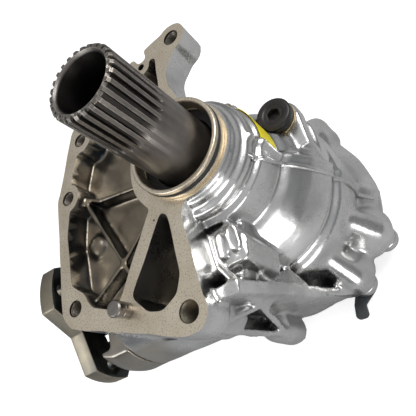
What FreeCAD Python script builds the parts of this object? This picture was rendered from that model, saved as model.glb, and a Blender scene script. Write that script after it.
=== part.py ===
import FreeCAD, Part
import math
import os
from FreeCAD import Vector as V

# Right-angle transfer case (power transfer unit) for a transverse engine.
# Frame: origin where the input axis meets the mounting face, +Z out of that
# face along the input shaft, output axis parallel to X and leaving towards -X.
# The case hangs below the mounting face and stands on its end cover.
# All lengths in millimetres.

os.makedirs("parts", exist_ok=True)

# ---------------------------------------------------------------- driving sizes
# stations along the input axis (Z)
COLLAR_H = 11.4            # spigot height above the mounting face
SHAFT_TOP = 96.0           # splined end of the input shaft
JOINT_Z = -176.0           # case / end cover joint
COVER_H = 29.0             # end cover height below the joint

# input shaft and collar
SHAFT_R = 25.0
SHAFT_BORE_R = 19.2
COLLAR_R = 36.6
COLLAR_BORE_R = 33.0
GROOVE_Z = 4.0             # lower edge of the O-ring groove
GROOVE_W = 4.0
GROOVE_DEPTH = 2.8
SPLINE_N = 26
SPLINE_DEPTH = 2.2
SPLINE_LEN = 34.0
SPLINE_RUN = 11.5          # run-out length of the spline cutter
SPLINE_SHARE = 0.5         # groove width as a share of the tooth pitch
SHAFT_END = 20.0           # lower shaft end, measured below the joint

# crossing point of the bevel axes, offset of the output axis
APEX_Z = -57.0
OUT_Y = -54.0

# bevel pair and spur pair
MODULE = 3.0
RING_N = 38
BEVEL_N = 14
BEVEL_FACE = 18.0
SPUR_A_N = 20
SPUR_B_N = 16
SPUR_FACE = 14.0
PRESSURE = math.radians(25.0)
BACKLASH = 0.3             # taken off each tooth thickness

# stations outward along the cross shafts (distance u from the input axis, x = -u)
FRONT_BRG_U = 62.0
FRONT_BRG_W = 12.0
SPUR_U = 80.0
SPLIT_U = 96.0             # main case / output housing joint
TAIL_BRG_U = 98.0
TAIL_BRG_W = 13.0
LIP_U = 121.5              # end of the output housing
RIM_IN_U = 134.4           # companion flange rim
RIM_OUT_U = 148.0

# bearings: inner radius, outer radius
BRG_A = (SHAFT_R, 40.0)
BRG_C = (12.5, 23.5)
BRG_B_FRONT = (12.5, 23.5)
BRG_B_TAIL = (15.0, 27.5)
BRG_A_W = 16.0
BRG_A_FRONT_Z = -30.0      # top face of the front input bearing
BRG_A_REAR_Z = -167.0      # top face of the rear input bearing
ROLLER_GAP = 0.08
RING_T = 0.24              # race thickness as a share of the bearing section

# casting
WALL = 7.0
NECK_R = 46.6
DOME_R = 50.4              # waist under the neck, where the label sits
JOINT_R = 92.0             # round joint of the case and the end cover
NOSE_R = 62.0
NOSE_LIP_R = 59.0
NOSE_TOP_Z = -27.2         # the output housing is cut flat just under the flange
FLANGE_T = 27.0
FLOOR_Z = -20.5            # floor of the wide flange pocket
DEEP_FLOOR_Z = -48.0       # floor of the triangular flange pocket
RIB_TOP_Z = -7.0
WEB_W = 8.5
RIB_W = 3.6
DRUM_BORE_R = 67.5

# mounting holes: x, y, radius, boss radius
HOLES = {
    "ear": (17.0, 106.0, 6.8, 13.0),
    "upper": (-91.0, 69.0, 6.2, 12.5),
    "middle": (-111.5, 20.4, 6.2, 12.0),
    "lower": (-115.5, -73.5, 6.2, 12.5),
    "corner": (-22.0, -112.0, 7.5, 14.0),
}
HOLE_DEPTH = 24.0
PIN_X, PIN_Y = -69.5, -93.5
PIN_R = 6.0
PIN_H = 13.5
PIN_SEAT = 16.0
PIN_BOSS_R = 11.0

# end cover joint bolts
COVER_BOLT_PCR = 95.0
COVER_BOLT_ANGLES = (45.0, -34.5, -61.0, -112.0, -138.0, -172.0, 151.0, 98.0)
COVER_BOLT_R = 4.0
COVER_BOSS_R = 11.5
COVER_BOSS_H = 14.0
FLARE_LEAN = 22.0          # a boss flare leans this far inward
FLARE_RISE = 30.0
FLARE_TIP_R = 10.0
COVER_FLANGE_T = 11.0
BOLT_HEAD_R = 6.5
BOLT_HEAD_H = 8.0
BOLT_GRIP = 14.0           # thread length in the case
BOLT_GAP = 0.3

# output housing bolts: y, z
HOUSING_BOLTS = ((-88.6, -37.0), (-92.6, -67.4), (-74.0, -91.6), (-43.6, -95.6))
ARM_BOLTS = ((42.0, -57.0), (34.4, -81.0))
HOUSING_EAR_R = 9.0

# companion flange
HUB_R = 20.0
LOBE_R = 60.5
NOTCH_R = 43.0
LOBE_HALF = 16.5           # half angle of a lobe in degrees
LOBE_TURN = 5.0            # first lobe leans this far from +Z towards +Y
FLANGE_PCR = 50.0
FLANGE_HOLE_R = 5.2
PILOT_R = 28.0

# plugs
PLUG_X, PLUG_Y, PLUG_Z = 57.2, 30.7, -56.9     # centre of the filler plug's top
PLUG_R = 14.5
PLUG_HEAD_H = 9.0
PLUG_THREAD_R = 6.0
PLUG_THREAD_L = 7.0
PLUG_HEX_R = 5.2
WASHER_T = 2.0
PLUG_BLOCK = (44.0, 74.0, -2.0, 46.5)          # x0, x1, y0, y1 of its boss
PLUG_FACE_R = 15.8         # spot face round the washer
PLUG_WALL = 3.5            # metal between the spot face and the inside
SPOT_TOP_Z = -40.0         # the spot faces of plug and breather are cut down from here
PLUG_LOW_Z = -76.0
GEAR_ROOM = 1.2            # gap over the tooth tips of the ring gear

# seals: station of the outer face, width, seat radius of the output seal
SEAL_Z = -3.0
SEAL_W = 10.0
SEAL_B_U = 112.5
SEAL_B_W = 8.0
SEAL_B_R = 27.0
SEAL_SHOULDER = 3.5        # step behind a pressed-in seal
COVER_SEAL_W = 9.0
COVER_SEAL_Z = 15.0        # inner end of the cover seal above the cover's bottom

# gear carrier on the input shaft
CARRIER_SPIGOT_R = 36.0
CARRIER_SPIGOT_H = 12.0
CARRIER_FLANGE_T = 9.0
CARRIER_BACK = 30.0        # the boss below the flange reaches this far under the seat
CARRIER_TAIL_R = 34.0
CARRIER_LOW_Z = -150.0
RING_BOLTS = 10
RING_BOLT_PCR = 48.5
RING_BOLT_R = 4.0
RING_BOLT_DEPTH = 10.0
RING_BODY = 20.0           # ring gear seat below the bevel pitch circle
SPACER_T = 5.0
CROSS_SPACER_T = 3.5

# output housing and the fastenings of the spur end
SPUR_GAP = 0.6             # gear tips to the chamber wall
ARM_WALL = 4.6             # arm wall outside the larger spur gear
RECESS_U = 113.0           # floor of the bolt recess round the lip
ARM_END_U = 114.5
HOUSING_BOLT_HEAD_R = 5.2
HOUSING_BOLT_HEAD_H = 6.5
HOUSING_THREAD = 14.0
HOUSING_EAR_T = 10.0
FLANGE_BORE_R = 13.0
NUT_U = 132.0
NUT_R = 15.0
NUT_H = 9.0
THREAD_R = 10.0            # threaded end of the output shaft

# small external parts
LABEL_Z0, LABEL_Z1 = -55.0, -27.5
LABEL_A0, LABEL_A1 = -6.2, 36.0
BREATHER = (20.0, 63.0, -66.0)             # x, y, seat of the breather
BREATHER_BOSS_R = 8.5
BREATHER_STEM_R = 3.0
BREATHER_STEM_L = 14.0
BOTTOM_BOSS = (-20.0, -106.0, 13.0)        # x, y, radius of the drain boss
BOTTOM_BOSS_TOP = -122.0
DRAIN_SEAT_Z = -158.0
DRAIN_THREAD_R = 6.0
DRAIN_THREAD_L = 12.0
DRAIN_WASHER_R = 10.5
DRAIN_DRILL_Z = -143.0     # cross drilling from the drain boss to the inside
DRAIN_DRILL_R = 3.5
BRACKET_T = 2.6
BRACKET_BOLT = 2           # the cover bolt that holds the bracket
DEFLECTOR_R = 27.4
PIN_RELIEF = 0.3           # undercut of the dowel where it meets the face
PIN_RELIEF_H = 0.4
HOLLOW = (71.2, -104.0, -84.0, -6.0, 52.0)     # floor radius, z0, z1, angles

PARTING_ANGLE = -9.5       # plane of the casting's parting line
PRESS = 0.02               # seats are this much larger in radius than what sits in them

# derived
COVER_BOTTOM = JOINT_Z - COVER_H
CROSS_C = V(0, 0, APEX_Z)
CROSS_B = V(0, OUT_Y, APEX_Z)
CHAMBER_U0 = FRONT_BRG_U + FRONT_BRG_W + 2.0
HUB_IN_U = TAIL_BRG_U + TAIL_BRG_W + 0.5
COVER_SEAT_Z = JOINT_Z - COVER_FLANGE_T - 1.0      # bolt head seats of the end cover
ORIGIN = V(0, 0, 0)

# ---------------------------------------------------------------- helpers


def lathe(points, origin=V(0, 0, 0), outward_x=False):
    """Closed section of (station, radius) corners turned about its own axis.

    Stations run along +Z, or along -X when outward_x is set."""
    corners = [V(r, 0, s) for s, r in points]
    wire = Part.makePolygon(corners + corners[:1])
    solid = Part.Face(wire).revolve(V(0, 0, 0), V(0, 0, 1), 360)
    if outward_x:
        solid.rotate(V(0, 0, 0), V(0, 1, 0), -90)
    solid.translate(origin)
    return solid


def tube(s0, s1, r0, r1, origin=V(0, 0, 0), outward_x=False):
    """Plain ring between two stations and two radii (r0 may be zero)."""
    return lathe([(s0, r0), (s1, r0), (s1, r1), (s0, r1)], origin, outward_x)


def rounded(corners, z):
    """Closed wire at height z through (x, y, radius) corners with tangent arcs."""
    count = len(corners)
    points = [V(c[0], c[1], z) for c in corners]
    ends = []
    for i in range(count):
        here, before, after = points[i], points[i - 1], points[(i + 1) % count]
        a, b = before - here, after - here
        turn = math.pi - a.getAngle(b)
        cut = corners[i][2] * math.tan(turn / 2)
        limit = 0.49 * min(a.Length, b.Length)
        cut = min(cut, limit)
        a.normalize()
        b.normalize()
        start, end = here + a * cut, here + b * cut
        if cut < 1e-6:
            ends.append((here, None, here))
            continue
        radius = cut / math.tan(turn / 2)
        middle = a + b
        middle.normalize()
        reach = radius / math.cos(turn / 2) - radius
        ends.append((start, here + middle * reach, end))
    edges = []
    for i in range(count):
        start, middle, end = ends[i]
        if middle is not None:
            edges.append(Part.Arc(start, middle, end).toShape())
        following = ends[(i + 1) % count][0]
        if (following - end).Length > 1e-6:
            edges.append(Part.LineSegment(end, following).toShape())
    return Part.Wire(edges)


def slab(corners, top, bottom):
    """Prism of a rounded outline between two heights."""
    return Part.Face(rounded(corners, bottom)).extrude(V(0, 0, top - bottom))


def fuse(shapes):
    return shapes[0].multiFuse(shapes[1:])


def cut(shape, tools):
    return shape.cut(Part.makeCompound(tools)) if len(tools) == 1 else shape.cut(fuse(tools))


def post(x, y, r, top, bottom):
    return Part.makeCylinder(r, top - bottom, V(x, y, bottom))


def polar(r, degrees):
    a = math.radians(degrees)
    return r * math.cos(a), r * math.sin(a)


def bar(p, q, width, depth, inward):
    """Rectangular rib from p to q; its outer edge lies on pq, its depth runs inward."""
    along = q - p
    side = along.cross(inward)
    side.normalize()
    side = side * (width / 2)
    drop = V(inward)
    drop.normalize()
    drop = drop * depth
    corners = [p + side, p - side, p - side + drop, p + side + drop]
    return Part.Face(Part.makePolygon(corners + corners[:1])).extrude(along)


def hexagon(r, top, bottom, x=0.0, y=0.0):
    """Hexagonal prism, r across the corners over two."""
    corners = []
    for k in range(6):
        dx, dy = polar(r, 60.0 * k)
        corners.append(V(x + dx, y + dy, bottom))
    return Part.Face(Part.makePolygon(corners + corners[:1])).extrude(V(0, 0, top - bottom))


def face_out(shape, y, z):
    """Turn a shape built about +Z so that its axis leaves along -X at (y, z)."""
    shape.rotate(V(0, 0, 0), V(0, 1, 0), -90)
    shape.translate(V(0, y, z))
    return shape


def export(name, shape):
    """Write one sub-part as a clean compound of its solids."""
    solids = shape.Solids
    clean = solids[0] if len(solids) == 1 else Part.makeCompound(solids)
    assert clean.isValid(), name
    clean.exportStep("parts/" + name + ".step")


# ---------------------------------------------------------------- gears


def involute_flank(teeth, module, steps=5):
    """Half tooth of an involute gear: (radius, half angle) from root to tip."""
    pitch = module * teeth / 2
    base = pitch * math.cos(PRESSURE)
    root = pitch - 1.25 * module
    tip = pitch + module
    thickness = math.pi * module / 2 - BACKLASH
    half_at_pitch = thickness / (2 * pitch)
    inv_pitch = math.tan(PRESSURE) - PRESSURE
    flank = []
    start = max(base, root)
    if root < base:
        flank.append((root, half_at_pitch + inv_pitch))
    for k in range(steps + 1):
        r = start + (tip - start) * k / steps
        alpha = math.acos(min(1.0, base / r))
        flank.append((r, half_at_pitch + inv_pitch - (math.tan(alpha) - alpha)))
    return flank


def tooth_ring(flank, teeth, phase, spin=1.0):
    """Outline angles and radii of a whole gear from one half tooth."""
    outline = []
    for k in range(teeth):
        centre = phase + 2 * math.pi * k / teeth
        for r, half in flank:
            outline.append((r, centre - half * spin))
        for r, half in reversed(flank):
            outline.append((r, centre + half * spin))
    return outline


def spur_gear(teeth, face, phase):
    """Spur gear about Z between 0 and face, with flat-sided teeth."""
    outline = tooth_ring(involute_flank(teeth, MODULE), teeth, phase)
    corners = [V(r * math.cos(a), r * math.sin(a), 0) for r, a in outline]
    return Part.Face(Part.makePolygon(corners + corners[:1])).extrude(V(0, 0, face))


def bevel_teeth(teeth, mate, near, far, phase):
    """Bevel tooth star about Z with its apex at the origin, between two planes.

    The back-cone (virtual spur) profile is carried to the apex, so every tooth
    side is flat."""
    cone = math.atan(teeth / mate)
    pitch = MODULE * teeth / 2
    height = pitch / math.tan(cone)
    virtual = teeth / math.cos(cone)
    flank = []
    for r, half in involute_flank(virtual, MODULE):
        lift = r - virtual * MODULE / 2
        radius = pitch + lift * math.cos(cone)
        level = height - lift * math.sin(cone)
        flank.append((radius / level, half / math.cos(cone)))
    outline = tooth_ring(flank, teeth, phase)

    def loop(level):
        pts = [V(r * level * math.cos(a), r * level * math.sin(a), level) for r, a in outline]
        return Part.makePolygon(pts + pts[:1])

    return Part.makeLoft([loop(near), loop(far)], True, True)


CONE_RING = math.atan(RING_N / BEVEL_N)
RING_R = MODULE * RING_N / 2
BEVEL_R = MODULE * BEVEL_N / 2
CONE_LEN = math.hypot(RING_R, BEVEL_R)
TOE = 1 - BEVEL_FACE / CONE_LEN
DEDENDUM_ANGLE = 1.25 * MODULE / CONE_LEN
RING_SEAT_Z = APEX_Z - BEVEL_R - RING_BODY        # lower face of the ring gear
RING_TOP_R = RING_R + MODULE * math.cos(CONE_RING)
SPUR_A_R = MODULE * SPUR_A_N / 2
SPUR_B_R = MODULE * SPUR_B_N / 2
ARM_R = SPUR_A_R + MODULE + ARM_WALL


def ring_bolt_holes(r, top, bottom):
    return [post(*polar(RING_BOLT_PCR, 360.0 * k / RING_BOLTS), r, top, bottom)
            for k in range(RING_BOLTS)]


def make_ring_gear():
    """Crown wheel: apex above it, teeth facing up, bolted to the carrier below."""
    star = bevel_teeth(RING_N, BEVEL_N, BEVEL_R * TOE * 0.75, BEVEL_R * 1.25, math.pi / RING_N)
    star.rotate(V(0, 0, 0), V(1, 0, 0), 180)
    star.translate(V(0, 0, APEX_Z))
    toe_r = RING_R * TOE
    outer = RING_TOP_R + 0.6
    seat = RING_SEAT_Z
    envelope = lathe([(APEX_Z - 4, toe_r), (seat, toe_r), (seat, outer), (APEX_Z - 4, outer)])
    teeth = star.common(envelope)
    root_cone = math.tan(CONE_RING - DEDENDUM_ANGLE)
    body = lathe([(seat, CARRIER_SPIGOT_R + PRESS), (seat, outer),
                  (APEX_Z - outer / root_cone, outer), (APEX_Z - toe_r / root_cone, toe_r),
                  (APEX_Z - toe_r / root_cone, CARRIER_SPIGOT_R + PRESS)])
    return cut(fuse([teeth, body]),
               ring_bolt_holes(RING_BOLT_R, seat + RING_BOLT_DEPTH + 1.0, seat - 1.0))


# ---------------------------------------------------------------- case castings
# outer profile of neck, dome and drum about the input axis: (z, radius)
DRUM = [
    (0.0, 38.5), (-3.5, 38.5), (-4.5, 41.0), (-11.0, 42.5), (-13.5, NECK_R), (-18.5, 47.6),
    (-21.5, 45.4), (-25.5, 45.4), (-27.5, DOME_R), (-55.0, DOME_R), (-57.0, 53.5),
    (-60.0, 57.0), (-68.0, 62.8), (-76.0, 67.6), (-84.0, 71.2), (-92.0, 74.4), (-98.0, 76.0),
    (-101.0, 71.4), (-107.0, 71.4), (-111.5, 78.5), (-120.0, 80.0), (-144.0, 80.4),
    (-148.0, 77.4), (-152.5, 77.8), (-158.0, 83.0), (-166.0, 88.5), (-171.0, JOINT_R),
    (JOINT_Z, JOINT_R),
]

RIM = [
    (-99.0, 84.0, 11.0), (-109.0, 57.0, 40.0), (-123.5, 21.0, 14.0), (-127.5, -40.0, 30.0),
    (-129.0, -75.0, 6.0), (-121.5, -86.5, 4.0), (-26.0, -126.5, 13.0), (-9.0, -119.0, 10.0),
    (-11.5, -47.0, 8.0), (-4.0, -34.0, 1.0), (10.0, 30.0, 1.0), (8.0, 47.0, 2.0),
    (3.5, 62.0, 10.0), (5.0, 80.0, 14.0), (18.0, 93.0, 8.0), (30.0, 104.0, 8.0),
    (27.0, 118.5, 10.0), (-10.5, 113.5, 2.0), (-10.0, 103.5, 2.5), (-17.5, 102.5, 3.0),
    (-21.5, 111.5, 3.0), (-32.0, 109.0, 3.0),
]

POCKET = [
    (-88.0, 72.0, 8.0), (-98.0, 54.0, 10.0), (-105.5, 37.0, 8.0), (-112.0, 8.0, 8.0),
    (-116.0, -12.0, 14.0), (-117.0, -55.0, 8.0), (-106.0, -66.0, 8.0), (-99.0, -80.0, 8.0),
    (-42.0, -105.5, 8.0), (-28.0, -99.0, 9.0), (-22.5, -84.0, 8.0), (-22.0, -62.0, 8.0),
    (-26.0, -36.0, 2.0), (-10.0, 0.0, 1.0), (-8.0, 44.0, 2.0), (-5.0, 66.0, 4.0),
    (-1.0, 99.0, 4.0), (-26.0, 100.0, 4.0),
]

TRIANGLE = [
    (-27.0, -36.0, 3.0), (-22.5, -42.0, 3.0), (-22.0, -62.0, 3.0), (-22.5, -86.0, 5.0),
    (-28.0, -98.0, 7.0), (-41.0, -104.0, 5.0), (-53.0, -100.5, 7.0), (-63.0, -86.0, 5.0),
]

RIBS = (
    [(-102.0, 16.0), (-67.5, -66.0)],
    [(-104.0, -72.0), (-72.0, -54.0), (-46.0, -33.0)],
    [(-104.0, 19.0), (-86.0, 8.0), (-44.0, -1.0)],
)

HOLE_NAMES = sorted(HOLES)


def plug_backing():
    """Metal left inside the dome behind the filler plug, clear of the ring gear's teeth."""
    backing = post(PLUG_X, PLUG_Y, PLUG_FACE_R + PLUG_WALL, PLUG_Z, PLUG_LOW_Z)
    reach = RING_TOP_R + 4.0
    top = APEX_Z + GEAR_ROOM
    slope = math.tan(CONE_RING + MODULE / CONE_LEN)
    room = lathe([(top, 0.0), (top - reach / slope, reach), (PLUG_LOW_Z - 1.0, reach),
                  (PLUG_LOW_Z - 1.0, 0.0)])
    return backing.cut(room)


def shell_inside():
    """Cavity of the drum and dome, one wall inside the outer profile."""
    inner = []
    for z, r in DRUM:
        if z <= -57.0 and z >= -92.0:
            inner.append((z - 2.0, min(DRUM_BORE_R, r - WALL + 1.2)))
    top = inner[0][0]
    mouth = BRG_A[1] + PRESS
    seat_end = BRG_A_FRONT_Z - BRG_A_W
    section = [(seat_end, 0.0), (seat_end, mouth), (top, mouth)] + inner
    section += [(-100.0, DRUM_BORE_R), (JOINT_Z, DRUM_BORE_R), (JOINT_Z, 0.0)]
    return lathe(section).cut(plug_backing())


def input_bore():
    """Collar bore, seal seat, and front bearing seat."""
    seal_end = SEAL_Z - SEAL_W
    brg_end = BRG_A_FRONT_Z - BRG_A_W
    section = [
        (COLLAR_H, 0.0), (COLLAR_H, COLLAR_BORE_R + 1.0), (COLLAR_H - 1.0, COLLAR_BORE_R),
        (seal_end, COLLAR_BORE_R), (seal_end, COLLAR_BORE_R - SEAL_SHOULDER),
        (BRG_A_FRONT_Z, COLLAR_BORE_R - SEAL_SHOULDER), (BRG_A_FRONT_Z, BRG_A[1] + PRESS),
        (brg_end - 0.5, BRG_A[1] + PRESS), (brg_end - 0.5, 0.0),
    ]
    return lathe(section)


def gear_chamber():
    """Room for the spur pair and the seats of the two front bearings."""
    a = tube(CHAMBER_U0, SPLIT_U, 0, SPUR_A_R + MODULE + SPUR_GAP, CROSS_C, True)
    b = tube(CHAMBER_U0, SPLIT_U, 0, SPUR_B_R + MODULE + SPUR_GAP, CROSS_B, True)
    seat_c = tube(FRONT_BRG_U, CHAMBER_U0, 0, BRG_C[1] + PRESS, CROSS_C, True)
    seat_b = tube(FRONT_BRG_U, CHAMBER_U0, 0, BRG_B_FRONT[1] + PRESS, CROSS_B, True)
    through = tube(RING_R * TOE, FRONT_BRG_U, 0, BRG_C[1] - 2.5, CROSS_C, True)
    teeth_room = tube(RING_R * TOE - 3.0, RING_R + 3.0, 0, BEVEL_R + MODULE + 2.5, CROSS_C, True)
    end_gap = tube(FRONT_BRG_U - 3.0, FRONT_BRG_U, 0, BRG_B_FRONT[0] + 2.0, CROSS_B, True)
    return [a, b, seat_c, seat_b, through, teeth_room, end_gap]


def nose_outline(u0, u1, r_out, r_arm, top):
    """Round nose about the output axis joined to the pinion arm, cut flat on top."""
    nose = tube(u0, u1, 0, r_out, CROSS_B, True)
    arm = tube(u0, u1, 0, r_arm, CROSS_C, True)
    web = Part.makeBox(u1 - u0, -OUT_Y, 2 * r_arm, V(-u1, OUT_Y, APEX_Z - r_arm))
    lid = Part.makeBox(u1 - u0 + 2, 4 * r_out, r_out, V(-u1 - 1, OUT_Y - 2 * r_out, top))
    return fuse([nose, arm, web]).cut(lid)


def cover_posts(top, bottom, r):
    posts = []
    for angle in COVER_BOLT_ANGLES:
        x, y = polar(COVER_BOLT_PCR, angle)
        posts.append(post(x, y, r, top, bottom))
    return posts


def boss_flares():
    """Each joint boss leans into the drum as a blunt cone and is tied in by a block."""
    out = []
    top = JOINT_Z + COVER_BOSS_H
    for angle in COVER_BOLT_ANGLES:
        x, y = polar(COVER_BOLT_PCR, angle)
        inx, iny = polar(COVER_BOLT_PCR - FLARE_LEAN, angle)
        base = V(x, y, top)
        lean = V(inx, iny, top + FLARE_RISE) - base
        out.append(Part.makeSphere(COVER_BOSS_R, base))
        out.append(Part.makeCone(COVER_BOSS_R + 1.5, FLARE_TIP_R, lean.Length, base, lean))
        out.append(bar(V(x, y, JOINT_Z), V(x, y, top), 2 * COVER_BOSS_R - 2.0, FLARE_LEAN,
                       V(inx - x, iny - y, 0)))
    return out


def parting_ridge():
    """Raised parting line that follows the drum profile."""
    raised = [(-10.0, 0.0)] + [(z, r + 2.6) for z, r in DRUM if z < -11.0] + [(JOINT_Z, 0.0)]
    strip = Part.makeBox(100.0, 4.6, 200.0, V(10.0, -2.3, JOINT_Z))
    strip.rotate(V(0, 0, 0), V(0, 0, 1), PARTING_ANGLE)
    return lathe(raised).common(strip)


def side_rib():
    """Long stiffening rib low on the drum, with its flat edge outwards."""
    length = -12.0 - JOINT_Z
    corners = [V(9.0, -100.0, -12.0), V(34.0, -100.0, -12.0 - length + 9.0),
               V(26.0, -100.0, -12.0 - length), V(-25.0, -100.0, -12.0 - length),
               V(-25.0, -100.0, -12.0)]
    plate = Part.Face(Part.makePolygon(corners + corners[:1])).extrude(V(0, -9.5, 0))
    plate.rotate(V(0, -100.0, -12.0), V(1, 0, 0), 5.7)
    return plate


def truss():
    """Crossed ribs between the side rib and the lower rail."""
    low = BOTTOM_BOSS
    t1 = V(9.0, -104.0, -14.0)
    t2 = V(24.0, -94.0, -100.0)
    b1 = V(-21.0, -123.0, -16.0)
    b2 = V(low[0] + 8.0, low[1] - 11.0, -126.0)
    inward = V(-1.0, 1.6, 0.0)
    return [
        bar(b1, b2, 5.0, 26.0, inward),
        bar(t1, b2, 5.0, 22.0, inward),
        bar(b1, t2, 5.0, 22.0, inward),
        bar((t1 + t2) * 0.5, (t1 + b2) * 0.5, 4.0, 18.0, inward),
    ]


def pad_block():
    """Shelf beside the flange with two raised oval lands."""
    block = slab([(-14.0, -56.0, 4.0), (-14.0, -84.0, 4.0), (14.0, -84.0, 5.0),
                  (18.0, -68.0, 5.0), (8.0, -52.0, 5.0)], -28.0, -80.0)
    ovals = []
    for x, y in ((-1.0, -68.0), (9.0, -66.0)):
        oval = slab([(x - 4.0, y + 9.0, 3.9), (x + 4.0, y + 9.0, 3.9),
                     (x + 4.0, y - 11.0, 3.9), (x - 4.0, y - 11.0, 3.9)], -24.5, -30.0)
        ovals.append(oval)
    return [block] + ovals


def pocket_ribs():
    """Low crossed ribs on the floor of the wide pocket."""
    ribs = []
    for line in RIBS:
        for p, q in zip(line[:-1], line[1:]):
            start, end = V(p[0], p[1], RIB_TOP_Z), V(q[0], q[1], RIB_TOP_Z)
            ribs.append(bar(start, end, RIB_W, RIB_TOP_Z - FLOOR_Z + 1.0, V(0, 0, -1)))
    return ribs


def pocket_dome():
    return lathe([(FLOOR_Z - 1.0, 0.0), (FLOOR_Z - 1.0, 11.0), (FLOOR_Z + 3.0, 9.0),
                  (FLOOR_Z + 5.5, 5.0), (FLOOR_Z + 6.3, 0.0)], V(-104.0, -22.0, 0))


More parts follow.
